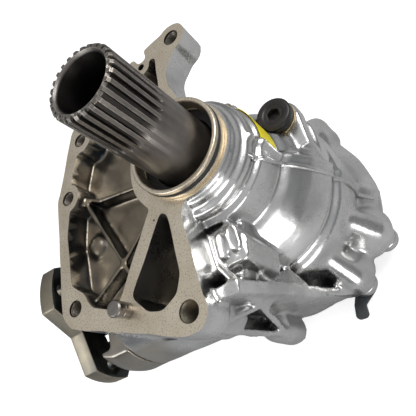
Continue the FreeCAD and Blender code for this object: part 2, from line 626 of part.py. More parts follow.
def make_main_case():
    solid_parts = [lathe([(0.0, 0.0)] + DRUM + [(JOINT_Z, 0.0)])]
    solid_parts.append(tube(-1.0, COLLAR_H, 0, COLLAR_R))
    solid_parts.append(slab(RIM, 0.0, -FLANGE_T))
    for name in HOLE_NAMES:
        x, y, r, boss = HOLES[name]
        solid_parts.append(post(x, y, boss, 0.0, -HOLE_DEPTH - 3.0))
    deep = [(-70.0, -80.0, 6.0), (-62.0, -108.0, 6.0), (-26.0, -123.0, 12.0),
            (-9.0, -115.0, 10.0), (-11.5, -47.0, 6.0), (-30.0, -24.0, 2.0)]
    solid_parts.append(slab(deep, -FLANGE_T + 1.0, DEEP_FLOOR_Z - WALL))
    solid_parts.append(nose_outline(FRONT_BRG_U - 6.0, SPLIT_U, NOSE_R, ARM_R, -1.0))
    shoulder = lathe([(12.0, 0.0), (12.0, 34.0), (42.0, NOSE_R), (60.0, NOSE_R), (60.0, 0.0)],
                     CROSS_B, True)
    solid_parts.append(shoulder.cut(Part.makeBox(100.0, 200.0, 60.0, V(-90.0, -150.0, -1.0))))
    solid_parts.append(slab([(-62.0, -40.0, 2.0), (-62.0, -100.0, 10.0), (-24.0, -104.0, 12.0),
                             (2.0, -92.0, 12.0), (14.0, -50.0, 4.0)], -40.0, -150.0))
    solid_parts += cover_posts(JOINT_Z + COVER_BOSS_H, JOINT_Z, COVER_BOSS_R)
    solid_parts += boss_flares()
    solid_parts.append(parting_ridge())
    solid_parts.append(side_rib())
    solid_parts += truss()
    solid_parts += pad_block()
    bx, by, br = BOTTOM_BOSS
    solid_parts.append(post(bx, by, br, BOTTOM_BOSS_TOP, DRAIN_SEAT_Z))
    solid_parts.append(Part.makeSphere(br, V(bx, by, BOTTOM_BOSS_TOP)))
    plug_seat = PLUG_Z - PLUG_HEAD_H - WASHER_T
    x0, x1, y0, y1 = PLUG_BLOCK
    solid_parts.append(slab([(x0, y0, 3.0), (x0, y1, 3.0), (x1, y1, 14.0), (x1, y0, 3.0)],
                            plug_seat, -112.0))
    solid_parts.append(post(BREATHER[0], BREATHER[1], BREATHER_BOSS_R, BREATHER[2], -112.0))
    for y, z in ARM_BOLTS:
        solid_parts.append(tube(SPLIT_U - 24.0, SPLIT_U, 0, HOUSING_EAR_R, V(0, y, z), True))
    outside = fuse(solid_parts)

    # pockets of the flange, kept clear of bosses, collar and webs
    keep = []
    for name in HOLE_NAMES:
        x, y, r, boss = HOLES[name]
        keep.append(post(x, y, boss, 1.0, -FLANGE_T))
    keep.append(post(0.0, 0.0, NECK_R, 1.0, -FLANGE_T))
    keep.append(post(PIN_X, PIN_Y, PIN_BOSS_R, 1.0, -FLANGE_T))
    keep.append(post(-16.0, 98.0, 8.0, 1.0, -FLANGE_T))
    web = bar(V(-30.0, -30.0, 1.0), V(-69.0, -84.0, 1.0), WEB_W, FLANGE_T + 1.0, V(0, 0, -1))
    keep.append(web)
    keep.append(slab([(-27.0, -28.0, 1.0), (-60.0, -80.0, 1.0), (-68.0, -98.0, 1.0),
                      (-40.0, -112.0, 1.0), (-15.0, -104.0, 1.0), (-15.0, -30.0, 1.0)],
                     1.0, -FLANGE_T))
    wide = slab(POCKET, 1.0, FLOOR_Z).cut(fuse(keep)).cut(fuse(pocket_ribs()))
    wide = wide.cut(pocket_dome())
    triangle = slab(TRIANGLE, 1.0, DEEP_FLOOR_Z)

    floor_r, low, high, from_angle, to_angle = HOLLOW
    hollow = Part.makeCylinder(JOINT_R, high - low, V(0, 0, low), V(0, 0, 1),
                               to_angle - from_angle)
    hollow.rotate(ORIGIN, V(0, 0, 1), from_angle)
    hollow = hollow.cut(post(0.0, 0.0, floor_r, high + 1.0, low - 1.0))

    tools = [wide, triangle, hollow, shell_inside(), input_bore()] + gear_chamber()
    tools.append(tube(GROOVE_Z, GROOVE_Z + GROOVE_W, COLLAR_R - GROOVE_DEPTH, COLLAR_R + 1.0))
    for name in HOLE_NAMES:
        x, y, r, boss = HOLES[name]
        tools.append(post(x, y, r, 1.0, -HOLE_DEPTH))
        tools.append(lathe([(0.01, 0.0), (0.01, r + 1.2), (-1.2, r), (-1.2, 0.0)], V(x, y, 0)))
    tools.append(post(PIN_X, PIN_Y, PIN_R, 1.0, -PIN_SEAT))
    tools.append(post(-33.5, -40.5, 1.8, 1.0, -6.0))
    tools.append(post(-16.0, 98.0, 3.4, 1.0, -12.0))
    for angle in COVER_BOLT_ANGLES:
        x, y = polar(COVER_BOLT_PCR, angle)
        tools.append(post(x, y, COVER_BOLT_R, JOINT_Z + BOLT_GRIP + 1.0, JOINT_Z - 1.0))
    for y, z in HOUSING_BOLTS + ARM_BOLTS:
        tools.append(tube(SPLIT_U - 16.0, SPLIT_U + 1.0, 0, COVER_BOLT_R, V(0, y, z), True))
    tools.append(post(PLUG_X, PLUG_Y, PLUG_THREAD_R, plug_seat + 1.0, -90.0))
    tools.append(post(PLUG_X, PLUG_Y, PLUG_FACE_R, SPOT_TOP_Z, plug_seat))
    tools.append(post(BREATHER[0], BREATHER[1], BREATHER_BOSS_R, SPOT_TOP_Z, BREATHER[2]))
    tools.append(post(BREATHER[0], BREATHER[1], BREATHER_STEM_R, BREATHER[2] + 1.0, -97.0))
    drain_top = DRAIN_SEAT_Z + DRAIN_THREAD_L
    tools.append(post(bx, by, DRAIN_THREAD_R, drain_top, DRAIN_SEAT_Z - 1.0))
    tools.append(post(bx, by, DRAIN_DRILL_R, DRAIN_DRILL_Z, drain_top - 1.0))
    reach = math.hypot(bx, by) - DRUM_BORE_R + 6.0
    tools.append(Part.makeCylinder(DRAIN_DRILL_R, reach, V(bx, by, DRAIN_DRILL_Z), V(-bx, -by, 0)))
    return cut(outside, tools)


def make_output_housing():
    """Cover of the spur pair: tail bearing seats, seal seat and round lip."""
    flange = nose_outline(SPLIT_U, SPLIT_U + 8.0, NOSE_R, ARM_R, NOSE_TOP_Z)
    nose = lathe([(SPLIT_U, 0.0), (SPLIT_U, NOSE_R), (LIP_U - 10.0, NOSE_R), (LIP_U, NOSE_LIP_R),
                  (LIP_U, 0.0)], CROSS_B, True)
    arm = tube(SPLIT_U, ARM_END_U, 0, BRG_C[1] + 4.0, CROSS_C, True)
    ears = []
    for y, z in ARM_BOLTS:
        ears.append(tube(SPLIT_U, SPLIT_U + HOUSING_EAR_T, 0, HOUSING_EAR_R, V(0, y, z), True))
    lid = Part.makeBox(60.0, 300.0, 60.0, V(-SPLIT_U - 55.0, -200.0, NOSE_TOP_Z))
    outside = fuse([flange, nose, arm] + ears).cut(lid)
    tail_end = TAIL_BRG_U + TAIL_BRG_W
    tools = [
        tube(SPLIT_U - 1, tail_end, 0, BRG_C[1] + PRESS, CROSS_C, True),
        tube(SPLIT_U - 1, tail_end, 0, BRG_B_TAIL[1] + PRESS, CROSS_B, True),
        tube(tail_end - 1, SEAL_B_U + 1, 0, HUB_R + 3.0, CROSS_B, True),
        tube(SEAL_B_U, LIP_U + 1, 0, SEAL_B_R, CROSS_B, True),
        tube(RECESS_U, LIP_U + 1, SEAL_B_R + 3.0, NOSE_LIP_R - 3.0, CROSS_B, True),
    ]
    for y, z in HOUSING_BOLTS + ARM_BOLTS:
        tools.append(tube(SPLIT_U - 1, LIP_U + 1, 0, COVER_BOLT_R + BOLT_GAP, V(0, y, z), True))
    return cut(outside, tools)


def hex_bolt(head_r, head_h, shank_r, length):
    """Flanged hexagon bolt about Z: head from 0 to head_h, shank below 0."""
    flange = Part.makeCylinder(head_r + 1.0, 1.6)
    head = hexagon(head_r, head_h, 0.8)
    shank = Part.makeCylinder(shank_r, length + 0.5, V(0, 0, -length))
    return fuse([flange, head, shank])


def make_housing_bolts():
    bolts = []
    for places, grip in ((HOUSING_BOLTS, RECESS_U - SPLIT_U), (ARM_BOLTS, HOUSING_EAR_T)):
        for y, z in places:
            bolt = hex_bolt(HOUSING_BOLT_HEAD_R, HOUSING_BOLT_HEAD_H, COVER_BOLT_R,
                            grip + HOUSING_THREAD)
            bolt.translate(V(0, 0, SPLIT_U + grip))
            bolts.append(face_out(bolt, y, z))
    return Part.makeCompound(bolts)


def make_end_cover():
    top, low = JOINT_Z, COVER_BOTTOM
    seat_low = BRG_A_REAR_Z - BRG_A_W
    section = [
        (top + 4.0, 64.0), (top + 4.0, DRUM_BORE_R - 0.3), (top, DRUM_BORE_R - 0.3),
        (top, JOINT_R), (top - COVER_FLANGE_T, JOINT_R),
        (top - COVER_FLANGE_T - 2.0, 78.0), (low + 3.0, 74.0), (low, 71.0), (low, 52.0),
        (low + 5.0, 47.0), (low + 5.0, COLLAR_BORE_R), (low + COVER_SEAL_Z, COLLAR_BORE_R),
        (low + COVER_SEAL_Z, SHAFT_R + 4.0), (seat_low, SHAFT_R + 4.0),
        (seat_low, BRG_A[1] + PRESS), (BRG_A_REAR_Z + 2.0, BRG_A[1] + PRESS),
        (BRG_A_REAR_Z + 2.0, BRG_A[1] + 6.5), (top - 6.0, BRG_A[1] + 7.5), (top - 6.0, 64.0),
    ]
    ribs = []
    for angle in COVER_BOLT_ANGLES:
        inx, iny = polar(70.0, angle)
        outx, outy = polar(COVER_BOLT_PCR - 3.0, angle)
        p, q = V(inx, iny, COVER_SEAT_Z - 8.0), V(outx, outy, COVER_SEAT_Z)
        ribs.append(bar(p, q, 8.0, 9.0, V(0, 0, 1)))
    solid = fuse([lathe(section)] + cover_posts(top, COVER_SEAT_Z, COVER_BOSS_R) + ribs)
    holes = cover_posts(top + 1.0, low, COVER_BOLT_R + BOLT_GAP)
    return cut(solid, holes + cover_posts(COVER_SEAT_Z, low, BOLT_HEAD_R + 2.0))


def make_cover_bolts():
    bolts = []
    for angle in COVER_BOLT_ANGLES:
        x, y = polar(COVER_BOLT_PCR, angle)
        grip = COVER_FLANGE_T + 1.0 + BOLT_GRIP
        bolt = hex_bolt(BOLT_HEAD_R, BOLT_HEAD_H, COVER_BOLT_R, grip)
        bolt.rotate(V(0, 0, 0), V(1, 0, 0), 180)
        under = BRACKET_T if angle == COVER_BOLT_ANGLES[BRACKET_BOLT] else 0.0
        bolt.translate(V(x, y, COVER_SEAT_Z - under))
        bolts.append(bolt)
    return Part.makeCompound(bolts)


# ---------------------------------------------------------------- turning parts


def make_input_shaft():
    low = JOINT_Z - SHAFT_END
    body = lathe([
        (SHAFT_TOP, SHAFT_BORE_R + 1.2), (SHAFT_TOP, SHAFT_R - 2.2), (SHAFT_TOP - 2.6, SHAFT_R),
        (low + 1.0, SHAFT_R), (low, SHAFT_R - 1.0), (low, SHAFT_BORE_R),
        (SHAFT_TOP - 2.0, SHAFT_BORE_R),
    ])
    width = 2 * math.pi * SHAFT_R / SPLINE_N * SPLINE_SHARE
    floor_r = SHAFT_R - SPLINE_DEPTH
    end = SHAFT_TOP - SPLINE_LEN
    side = [V(floor_r, 0, SHAFT_TOP + 1), V(floor_r, 0, end), V(SHAFT_R + 0.4, 0, end - SPLINE_RUN),
            V(SHAFT_R + 0.4, 0, SHAFT_TOP + 1)]
    groove = Part.Face(Part.makePolygon(side + side[:1])).extrude(V(0, width, 0))
    groove.translate(V(0, -width / 2, 0))
    grooves = []
    for k in range(SPLINE_N):
        one = groove.copy()
        one.rotate(V(0, 0, 0), V(0, 0, 1), 360.0 * k / SPLINE_N)
        grooves.append(one)
    return body.cut(Part.makeCompound(grooves))


def make_ring_carrier():
    seat = RING_SEAT_Z
    rim = RING_TOP_R - 1.0
    body = lathe([
        (seat + CARRIER_SPIGOT_H, SHAFT_R), (seat + CARRIER_SPIGOT_H, CARRIER_SPIGOT_R),
        (seat, CARRIER_SPIGOT_R), (seat, rim), (seat - CARRIER_FLANGE_T, rim),
        (seat - CARRIER_FLANGE_T, CARRIER_SPIGOT_R), (seat - CARRIER_BACK, CARRIER_TAIL_R),
        (CARRIER_LOW_Z, CARRIER_TAIL_R), (CARRIER_LOW_Z, SHAFT_R),
    ])
    return cut(body, ring_bolt_holes(RING_BOLT_R + BOLT_GAP, seat + 1,
                                     seat - CARRIER_FLANGE_T - 1))


def make_ring_bolts():
    bolts = []
    for k in range(RING_BOLTS):
        bolt = hex_bolt(5.6, 6.0, RING_BOLT_R, CARRIER_FLANGE_T + RING_BOLT_DEPTH)
        bolt.rotate(V(0, 0, 0), V(1, 0, 0), 180)
        x, y = polar(RING_BOLT_PCR, 360.0 * k / RING_BOLTS)
        bolt.translate(V(x, y, RING_SEAT_Z - CARRIER_FLANGE_T))
        bolts.append(bolt)
    return Part.makeCompound(bolts)


def bearing(name, s0, s1, radii, count, origin, outward_x):
    """Roller bearing between two stations: two races and a caged roller set."""
    inner_r, outer_r = radii
    race = (outer_r - inner_r) * RING_T
    lo, hi = inner_r + race, outer_r - race
    roller = (hi - lo) / 2 - ROLLER_GAP
    middle = (hi + lo) / 2
    sign = 1.0 if s1 > s0 else -1.0
    a, b = s0 + sign * 2.0, s1 - sign * 2.0
    export(name + "_inner_race", tube(s0, s1, inner_r, lo, origin, outward_x))
    export(name + "_outer_race", tube(s0, s1, hi, outer_r, origin, outward_x))
    pieces = []
    for k in range(count):
        x, y = polar(middle, 360.0 * k / count)
        one = Part.makeCylinder(roller, abs(b - a), V(x, y, min(a, b)))
        if outward_x:
            one.rotate(V(0, 0, 0), V(0, 1, 0), -90)
        one.translate(origin)
        pieces.append(one)
    pieces.append(tube(a, a - sign * 1.2, lo + 0.5, hi - 0.5, origin, outward_x))
    pieces.append(tube(b, b + sign * 1.2, lo + 0.5, hi - 0.5, origin, outward_x))
    export(name + "_rollers", Part.makeCompound(pieces))


def lip_seal(s0, s1, shaft_r, seat_r, origin, outward_x):
    """Radial shaft seal: stiff outer band, web at the open side, lip on the shaft."""
    sign = 1.0 if s1 > s0 else -1.0
    run = shaft_r + 0.06
    return lathe([
        (s0, run + 1.6), (s0, seat_r), (s1, seat_r), (s1, seat_r - 2.0),
        (s0 + sign * 2.4, seat_r - 2.0), (s0 + sign * 2.4, run + 2.6),
        (s1 - sign * 1.4, run + 2.6), (s1 - sign * 1.4, run + 1.0), (s0 + sign * 4.4, run),
        (s0 + sign * 3.8, run),
    ], origin, outward_x)


def make_cross_pinion():
    """Bevel pinion on the cross shaft, apex on the input axis."""
    near, far = RING_R * TOE, RING_R + 1.0
    teeth = bevel_teeth(BEVEL_N, RING_N, near, far, 0.0)
    shaft = lathe([
        (near - 2.0, 0.0), (near - 2.0, 8.0), (near + 1.0, 10.0), (far, 14.0),
        (FRONT_BRG_U, 14.5), (FRONT_BRG_U, BRG_C[0]), (TAIL_BRG_U + TAIL_BRG_W - 0.5, BRG_C[0]),
        (TAIL_BRG_U + TAIL_BRG_W - 0.5, 0.0),
    ])
    return face_out(fuse([teeth, shaft]), 0.0, APEX_Z)


def make_spur(teeth, bore, phase, y):
    gear = spur_gear(teeth, SPUR_FACE, phase).cut(Part.makeCylinder(bore, SPUR_FACE))
    gear.translate(V(0, 0, SPUR_U))
    return face_out(gear, y, APEX_Z)


def make_output_shaft():
    tail = TAIL_BRG_U + TAIL_BRG_W
    shoulder = SPUR_U - 0.02
    return lathe([
        (FRONT_BRG_U - 1.0, 0.0), (FRONT_BRG_U - 1.0, BRG_B_FRONT[0]),
        (FRONT_BRG_U + FRONT_BRG_W, BRG_B_FRONT[0]), (FRONT_BRG_U + FRONT_BRG_W, 15.0),
        (shoulder, 15.0), (shoulder, BRG_B_FRONT[0]), (SPUR_U + SPUR_FACE, BRG_B_FRONT[0]),
        (SPUR_U + SPUR_FACE, BRG_B_TAIL[0]), (tail + 0.5, BRG_B_TAIL[0]), (tail + 0.5, FLANGE_BORE_R),
        (NUT_U - 2.0, FLANGE_BORE_R), (NUT_U - 2.0, THREAD_R), (NUT_U + 12.0, THREAD_R),
        (NUT_U + 13.0, THREAD_R - 1.0), (NUT_U + 13.0, 0.0),
    ], CROSS_B, True)


def make_companion_flange():
    """Four-lobed output flange with hub, pilot recess and bolt holes."""
    edges = []
    for k in range(4):
        centre = LOBE_TURN + 90.0 * k
        a = V(*polar(LOBE_R, centre - LOBE_HALF), 0)
        m = V(*polar(LOBE_R, centre), 0)
        b = V(*polar(LOBE_R, centre + LOBE_HALF), 0)
        notch = V(*polar(NOTCH_R, centre + 45.0), 0)
        following = V(*polar(LOBE_R, centre + 90.0 - LOBE_HALF), 0)
        edges.append(Part.Arc(a, m, b).toShape())
        edges.append(Part.LineSegment(b, notch).toShape())
        edges.append(Part.LineSegment(notch, following).toShape())
    plate = Part.Face(Part.Wire(edges)).extrude(V(0, 0, RIM_OUT_U - RIM_IN_U))
    plate.translate(V(0, 0, RIM_IN_U))
    hub = lathe([(HUB_IN_U, 0.0), (HUB_IN_U, HUB_R - 1.0), (HUB_IN_U + 1.0, HUB_R),
                 (RIM_IN_U - 6.0, HUB_R), (RIM_IN_U, HUB_R + 7.0), (RIM_IN_U + 1.0, HUB_R + 7.0),
                 (RIM_IN_U + 1.0, 0.0)])
    body = fuse([plate, hub])
    tools = [
        tube(HUB_IN_U - 1, RIM_OUT_U + 1, 0, FLANGE_BORE_R),
        tube(NUT_U, RIM_OUT_U + 1, 0, 18.0),
        tube(RIM_OUT_U - 3.0, RIM_OUT_U + 1, 0, PILOT_R),
    ]
    for k in range(4):
        x, y = polar(FLANGE_PCR, LOBE_TURN + 90.0 * k)
        tools.append(post(x, y, FLANGE_HOLE_R, RIM_OUT_U + 1, RIM_IN_U - 1))
    return face_out(cut(body, tools), OUT_Y, APEX_Z)


def make_output_nut():
    nut = hexagon(NUT_R, NUT_U + NUT_H, NUT_U)
    return face_out(nut.cut(post(0.0, 0.0, THREAD_R, NUT_U + NUT_H + 1, NUT_U - 1)), OUT_Y, APEX_Z)


def make_deflector():
    """Dust deflector pressed on the hub, running just outside the seal."""
    u = LIP_U + 0.6
    return lathe([(u, HUB_R), (u, DEFLECTOR_R - 3.0), (u - 0.4, DEFLECTOR_R - 0.4),
                  (u + 1.1, DEFLECTOR_R), (u + 1.6, DEFLECTOR_R - 3.0), (u + 1.6, HUB_R)],
                 CROSS_B, True)


# ---------------------------------------------------------------- small parts


def make_filler_plug():
    seat = PLUG_Z - PLUG_HEAD_H
    head = lathe([(seat, 0.0), (seat, PLUG_R), (PLUG_Z - 1.2, PLUG_R), (PLUG_Z, PLUG_R - 1.4),
                  (PLUG_Z, 0.0)], V(PLUG_X, PLUG_Y, 0))
    thread = post(PLUG_X, PLUG_Y, PLUG_THREAD_R, seat, seat - WASHER_T - PLUG_THREAD_L)
    socket = hexagon(PLUG_HEX_R, PLUG_Z + 1.0, PLUG_Z - 6.0, PLUG_X, PLUG_Y)
    dish = post(PLUG_X, PLUG_Y, PLUG_HEX_R + 2.6, PLUG_Z + 1.0, PLUG_Z - 0.8)
    return fuse([head, thread]).cut(fuse([socket, dish]))


def make_drain_plug():
    x, y = BOTTOM_BOSS[:2]
    seat = DRAIN_SEAT_Z - WASHER_T
    head = hexagon(8.5, seat, seat - 7.0, x, y)
    flange = post(x, y, 9.5, seat, seat - 2.0)
    return fuse([head, flange, post(x, y, DRAIN_THREAD_R, DRAIN_SEAT_Z + DRAIN_THREAD_L, seat)])


def make_label():
    """Blank adhesive label wrapped on the neck."""
    shell = tube(LABEL_Z0, LABEL_Z1, DOME_R + 0.05, DOME_R + 0.35)
    x0, y0 = polar(80.0, LABEL_A0)
    x1, y1 = polar(80.0, LABEL_A1)
    corners = [V(0, 0, -200), V(x0, y0, -200), V(x1, y1, -200)]
    wedge = Part.Face(Part.makePolygon(corners + corners[:1])).extrude(V(0, 0, 200))
    return shell.common(wedge)


def make_breather():
    x, y, z = BREATHER
    return lathe([(z - BREATHER_STEM_L, 0.0), (z - BREATHER_STEM_L, BREATHER_STEM_R),
                  (z, BREATHER_STEM_R), (z, 6.0), (z + 6.0, 6.5), (z + 8.0, 5.0), (z + 8.0, 0.0)],
                 V(x, y, 0))


def make_bracket():
    """Loom bracket clamped under the head of one cover bolt."""
    x, y = polar(COVER_BOLT_PCR, COVER_BOLT_ANGLES[BRACKET_BOLT])
    z = COVER_SEAT_Z
    outline = [(x - 7.0, y + 4.0, 5.0), (x + 8.0, y + 6.0, 5.0), (x + 7.0, y - 8.0, 4.0),
               (x - 6.0, y - 17.0, 3.0), (x - 7.0, y - 28.0, 4.0), (x - 19.0, y - 27.0, 4.0),
               (x - 16.0, y - 14.0, 4.0)]
    return slab(outline, z, z - BRACKET_T).cut(post(x, y, COVER_BOLT_R + BOLT_GAP, z + 1.0,
                                                    z - BRACKET_T - 1.0))


# ---------------------------------------------------------------- write the parts
export("main_case", make_main_case())
export("output_housing", make_output_housing())
export("housing_bolts", make_housing_bolts())
export("end_cover", make_end_cover())
export("cover_bolts", make_cover_bolts())
export("input_shaft", make_input_shaft())
export("ring_carrier", make_ring_carrier())
export("ring_gear", make_ring_gear())
export("ring_bolts", make_ring_bolts())
export("cross_pinion", make_cross_pinion())
export("cross_spur_gear", make_spur(SPUR_A_N, BRG_C[0], -math.pi / 2, 0.0))
export("output_spur_gear", make_spur(SPUR_B_N, BRG_B_FRONT[0],
                                     math.pi / 2 + math.pi / SPUR_B_N, OUT_Y))
export("output_shaft", make_output_shaft())
export("companion_flange", make_companion_flange())
export("output_nut", make_output_nut())
export("dust_deflector", make_deflector())

bearing("input_front_bearing", BRG_A_FRONT_Z, BRG_A_FRONT_Z - BRG_A_W, BRG_A, 18, ORIGIN, False)
bearing("input_rear_bearing", BRG_A_REAR_Z, BRG_A_REAR_Z - BRG_A_W, BRG_A, 18, ORIGIN, False)
bearing("cross_front_bearing", FRONT_BRG_U, FRONT_BRG_U + FRONT_BRG_W, BRG_C, 12, CROSS_C, True)
bearing("cross_tail_bearing", TAIL_BRG_U, TAIL_BRG_U + TAIL_BRG_W, BRG_C, 12, CROSS_C, True)
bearing("output_front_bearing", FRONT_BRG_U, FRONT_BRG_U + FRONT_BRG_W, BRG_B_FRONT, 12,
        CROSS_B, True)
bearing("output_tail_bearing", TAIL_BRG_U, TAIL_BRG_U + TAIL_BRG_W, BRG_B_TAIL, 13, CROSS_B, True)

export("front_spacer", tube(BRG_A_FRONT_Z - BRG_A_W, RING_SEAT_Z + CARRIER_SPIGOT_H, SHAFT_R,
                            SHAFT_R + SPACER_T))
export("rear_spacer", tube(CARRIER_LOW_Z, BRG_A_REAR_Z, SHAFT_R, SHAFT_R + SPACER_T))
export("cross_spacer", tube(FRONT_BRG_U + FRONT_BRG_W, SPUR_U, BRG_C[0],
                            BRG_C[0] + CROSS_SPACER_T, CROSS_C, True))
export("cross_tail_spacer", tube(SPUR_U + SPUR_FACE, TAIL_BRG_U, BRG_C[0],
                                 BRG_C[0] + CROSS_SPACER_T, CROSS_C, True))
export("input_seal", lip_seal(SEAL_Z, SEAL_Z - SEAL_W, SHAFT_R, COLLAR_BORE_R, ORIGIN, False))
seal_end = COVER_BOTTOM + COVER_SEAL_Z
export("cover_seal", lip_seal(seal_end - COVER_SEAL_W, seal_end, SHAFT_R, COLLAR_BORE_R, ORIGIN,
                              False))
export("output_seal", lip_seal(SEAL_B_U + SEAL_B_W, SEAL_B_U, HUB_R, SEAL_B_R, CROSS_B, True))
export("collar_o_ring", tube(GROOVE_Z + 0.3, GROOVE_Z + GROOVE_W - 0.3, COLLAR_R - GROOVE_DEPTH,
                             COLLAR_R))
export("dowel_pin", lathe([
    (-PIN_SEAT, 0.0), (-PIN_SEAT, PIN_R), (-PIN_RELIEF_H, PIN_R),
    (-PIN_RELIEF_H, PIN_R - PIN_RELIEF), (PIN_RELIEF_H, PIN_R - PIN_RELIEF), (PIN_RELIEF_H, PIN_R),
    (PIN_H - 1.0, PIN_R), (PIN_H, PIN_R - 1.0), (PIN_H, 0.0),
], V(PIN_X, PIN_Y, 0)))
export("filler_plug", make_filler_plug())
plug_under = PLUG_Z - PLUG_HEAD_H
export("filler_washer", tube(plug_under - WASHER_T, plug_under, PLUG_THREAD_R, PLUG_R + 0.8,
                             V(PLUG_X, PLUG_Y, 0)))
export("drain_plug", make_drain_plug())
export("drain_washer", tube(DRAIN_SEAT_Z - WASHER_T, DRAIN_SEAT_Z, DRAIN_THREAD_R,
                            DRAIN_WASHER_R, V(BOTTOM_BOSS[0], BOTTOM_BOSS[1], 0)))
export("breather", make_breather())
export("blank_label", make_label())
export("loom_bracket", make_bracket())
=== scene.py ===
# %% [markdown]
# # A right-angle transfer case
# The real object is a die-cast aluminium case with a hollow splined shaft
# standing out of a machined face, and a lobed steel flange on its left side.
# The solids come from CAD. This file gives them their looks: softened castings
# with crisp machined cuts, turned and splined steel, and worn, oily surfaces.
# The first step loads the solids and notes the box that they fill.

# %% Load the solids
import math
import bmesh
import bpy
import numpy as np
from mathutils import Matrix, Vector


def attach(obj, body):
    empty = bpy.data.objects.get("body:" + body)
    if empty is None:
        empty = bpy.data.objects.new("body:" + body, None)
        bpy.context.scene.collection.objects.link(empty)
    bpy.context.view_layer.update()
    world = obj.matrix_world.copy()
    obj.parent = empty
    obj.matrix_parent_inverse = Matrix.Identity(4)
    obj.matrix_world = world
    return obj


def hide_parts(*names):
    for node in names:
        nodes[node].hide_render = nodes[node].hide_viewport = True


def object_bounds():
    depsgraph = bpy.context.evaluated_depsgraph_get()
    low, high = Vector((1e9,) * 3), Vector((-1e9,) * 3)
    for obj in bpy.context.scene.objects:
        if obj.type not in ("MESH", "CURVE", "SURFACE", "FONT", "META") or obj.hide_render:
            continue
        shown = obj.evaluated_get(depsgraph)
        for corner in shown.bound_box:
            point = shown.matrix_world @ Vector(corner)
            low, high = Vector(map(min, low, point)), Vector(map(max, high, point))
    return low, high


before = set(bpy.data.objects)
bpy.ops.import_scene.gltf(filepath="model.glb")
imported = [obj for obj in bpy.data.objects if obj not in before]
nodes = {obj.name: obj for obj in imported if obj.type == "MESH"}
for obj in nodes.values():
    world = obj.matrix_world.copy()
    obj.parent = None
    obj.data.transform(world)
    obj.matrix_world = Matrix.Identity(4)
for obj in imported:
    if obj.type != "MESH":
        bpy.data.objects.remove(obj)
cad_box = [list(corner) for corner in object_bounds()]
MM = 0.001
print("nodes:", len(nodes), "CAD box:", np.round(cad_box, 4).tolist())

# %% [markdown]
# The main stations of the object, in millimetres. The shaft stands up along +Z
# from the mounting face at height 0, and the flange looks along -X.

# %% Stations shared by several pieces
SHAFT_TOP, SHAFT_R, SHAFT_BORE_R, SHAFT_LOW = 96.0, 25.0, 19.2, -196.0
SPLINES, SPLINE_END, SPLINE_RUN, SPLINE_DEPTH = 26, 62.0, 11.5, 2.3
COLLAR_H, COLLAR_R, COLLAR_BORE_R = 11.4, 36.6, 33.0
OUT_Y, OUT_Z = -54.0, -57.0
HOLES = [(17.0, 106.0, 6.8, 24.0), (-91.0, 69.0, 6.2, 24.0), (-111.5, 20.4, 6.2, 24.0),
         (-115.5, -73.5, 6.2, 24.0), (-22.0, -112.0, 7.5, 24.0)]
DOWEL = (-69.5, -93.5, 6.0, 13.5)
PLUG = (57.2, 30.7, -56.9, 14.5)
JOINT_Z, COVER_LOW = -176.0, -205.0
JOINT_BOLTS = (45.0, -34.5, -61.0, -112.0, -138.0, -172.0, 151.0, 98.0)  # degrees round Z
GEAR_ROOM_U, GEAR_ROOM_END = 75.8, 97.0      # distances from the input axis towards the flange
GEAR_ROOMS = [(0.0, 33.8), (OUT_Y, 27.8)]    # y and radius of the rooms of the two spur gears
print("holes in the mounting face:", len(HOLES), "joint bolts:", len(JOINT_BOLTS))

# %% [markdown]
# ## Tools for surfaces
# Every new piece is a surface on a grid of points: rows run along a profile and
# columns run round the axis. One function turns the grid into quads, another
# puts points and quads into a mesh, joins what coincides and marks sharp edges.

# %% Grid surfaces
def quads(rows, cols, wrap_rows=False, wrap_cols=True):
    """Corner numbers of the quads between neighbouring points of a grid."""
    index = np.arange(rows * cols).reshape(rows, cols)
    if wrap_cols:
        index = np.hstack([index, index[:, :1]])
    if wrap_rows:
        index = np.vstack([index, index[:1]])
    corners = [index[:-1, :-1], index[:-1, 1:], index[1:, 1:], index[1:, :-1]]
    return np.stack(corners, -1).reshape(-1, 4)


def put(name, points, faces, sharp=32.0):
    """Puts points in millimetres and faces into a new object, closed and facing out."""
    mesh = bpy.data.meshes.new(name)
    faces = faces if isinstance(faces, list) else faces.tolist()
    mesh.from_pydata((np.reshape(points, (-1, 3)) * MM).tolist(), [], faces)
    tidy(mesh, sharp)
    piece = bpy.data.objects.new(name, mesh)
    bpy.context.scene.collection.objects.link(piece)
    return piece


def tidy(mesh, sharp):
    """Joins doubles, turns the faces outwards and keeps edges over an angle sharp."""
    work = bmesh.new()
    work.from_mesh(mesh)
    bmesh.ops.remove_doubles(work, verts=work.verts, dist=2e-6)
    bmesh.ops.dissolve_degenerate(work, edges=work.edges, dist=1e-7)
    bmesh.ops.recalc_face_normals(work, faces=work.faces)
    work.to_mesh(mesh)
    work.free()
    mesh.shade_smooth()
    mesh.set_sharp_from_angle(angle=math.radians(sharp))


def show(piece, body, slot, *materials):
    """Gives a piece its body and its materials; the slot is not used."""
    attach(piece, body)
    for material in materials:
        piece.data.materials.append(material)
    print(piece.name, "faces:", len(piece.data.polygons))
    return piece


print("a 3 by 4 grid closed round its columns has", len(quads(3, 4)), "quads")

# %% [markdown]
# A turned part is a profile spun round an axis. Real turned edges are never
# knife sharp, so each corner of the profile is first rounded by a small arc.

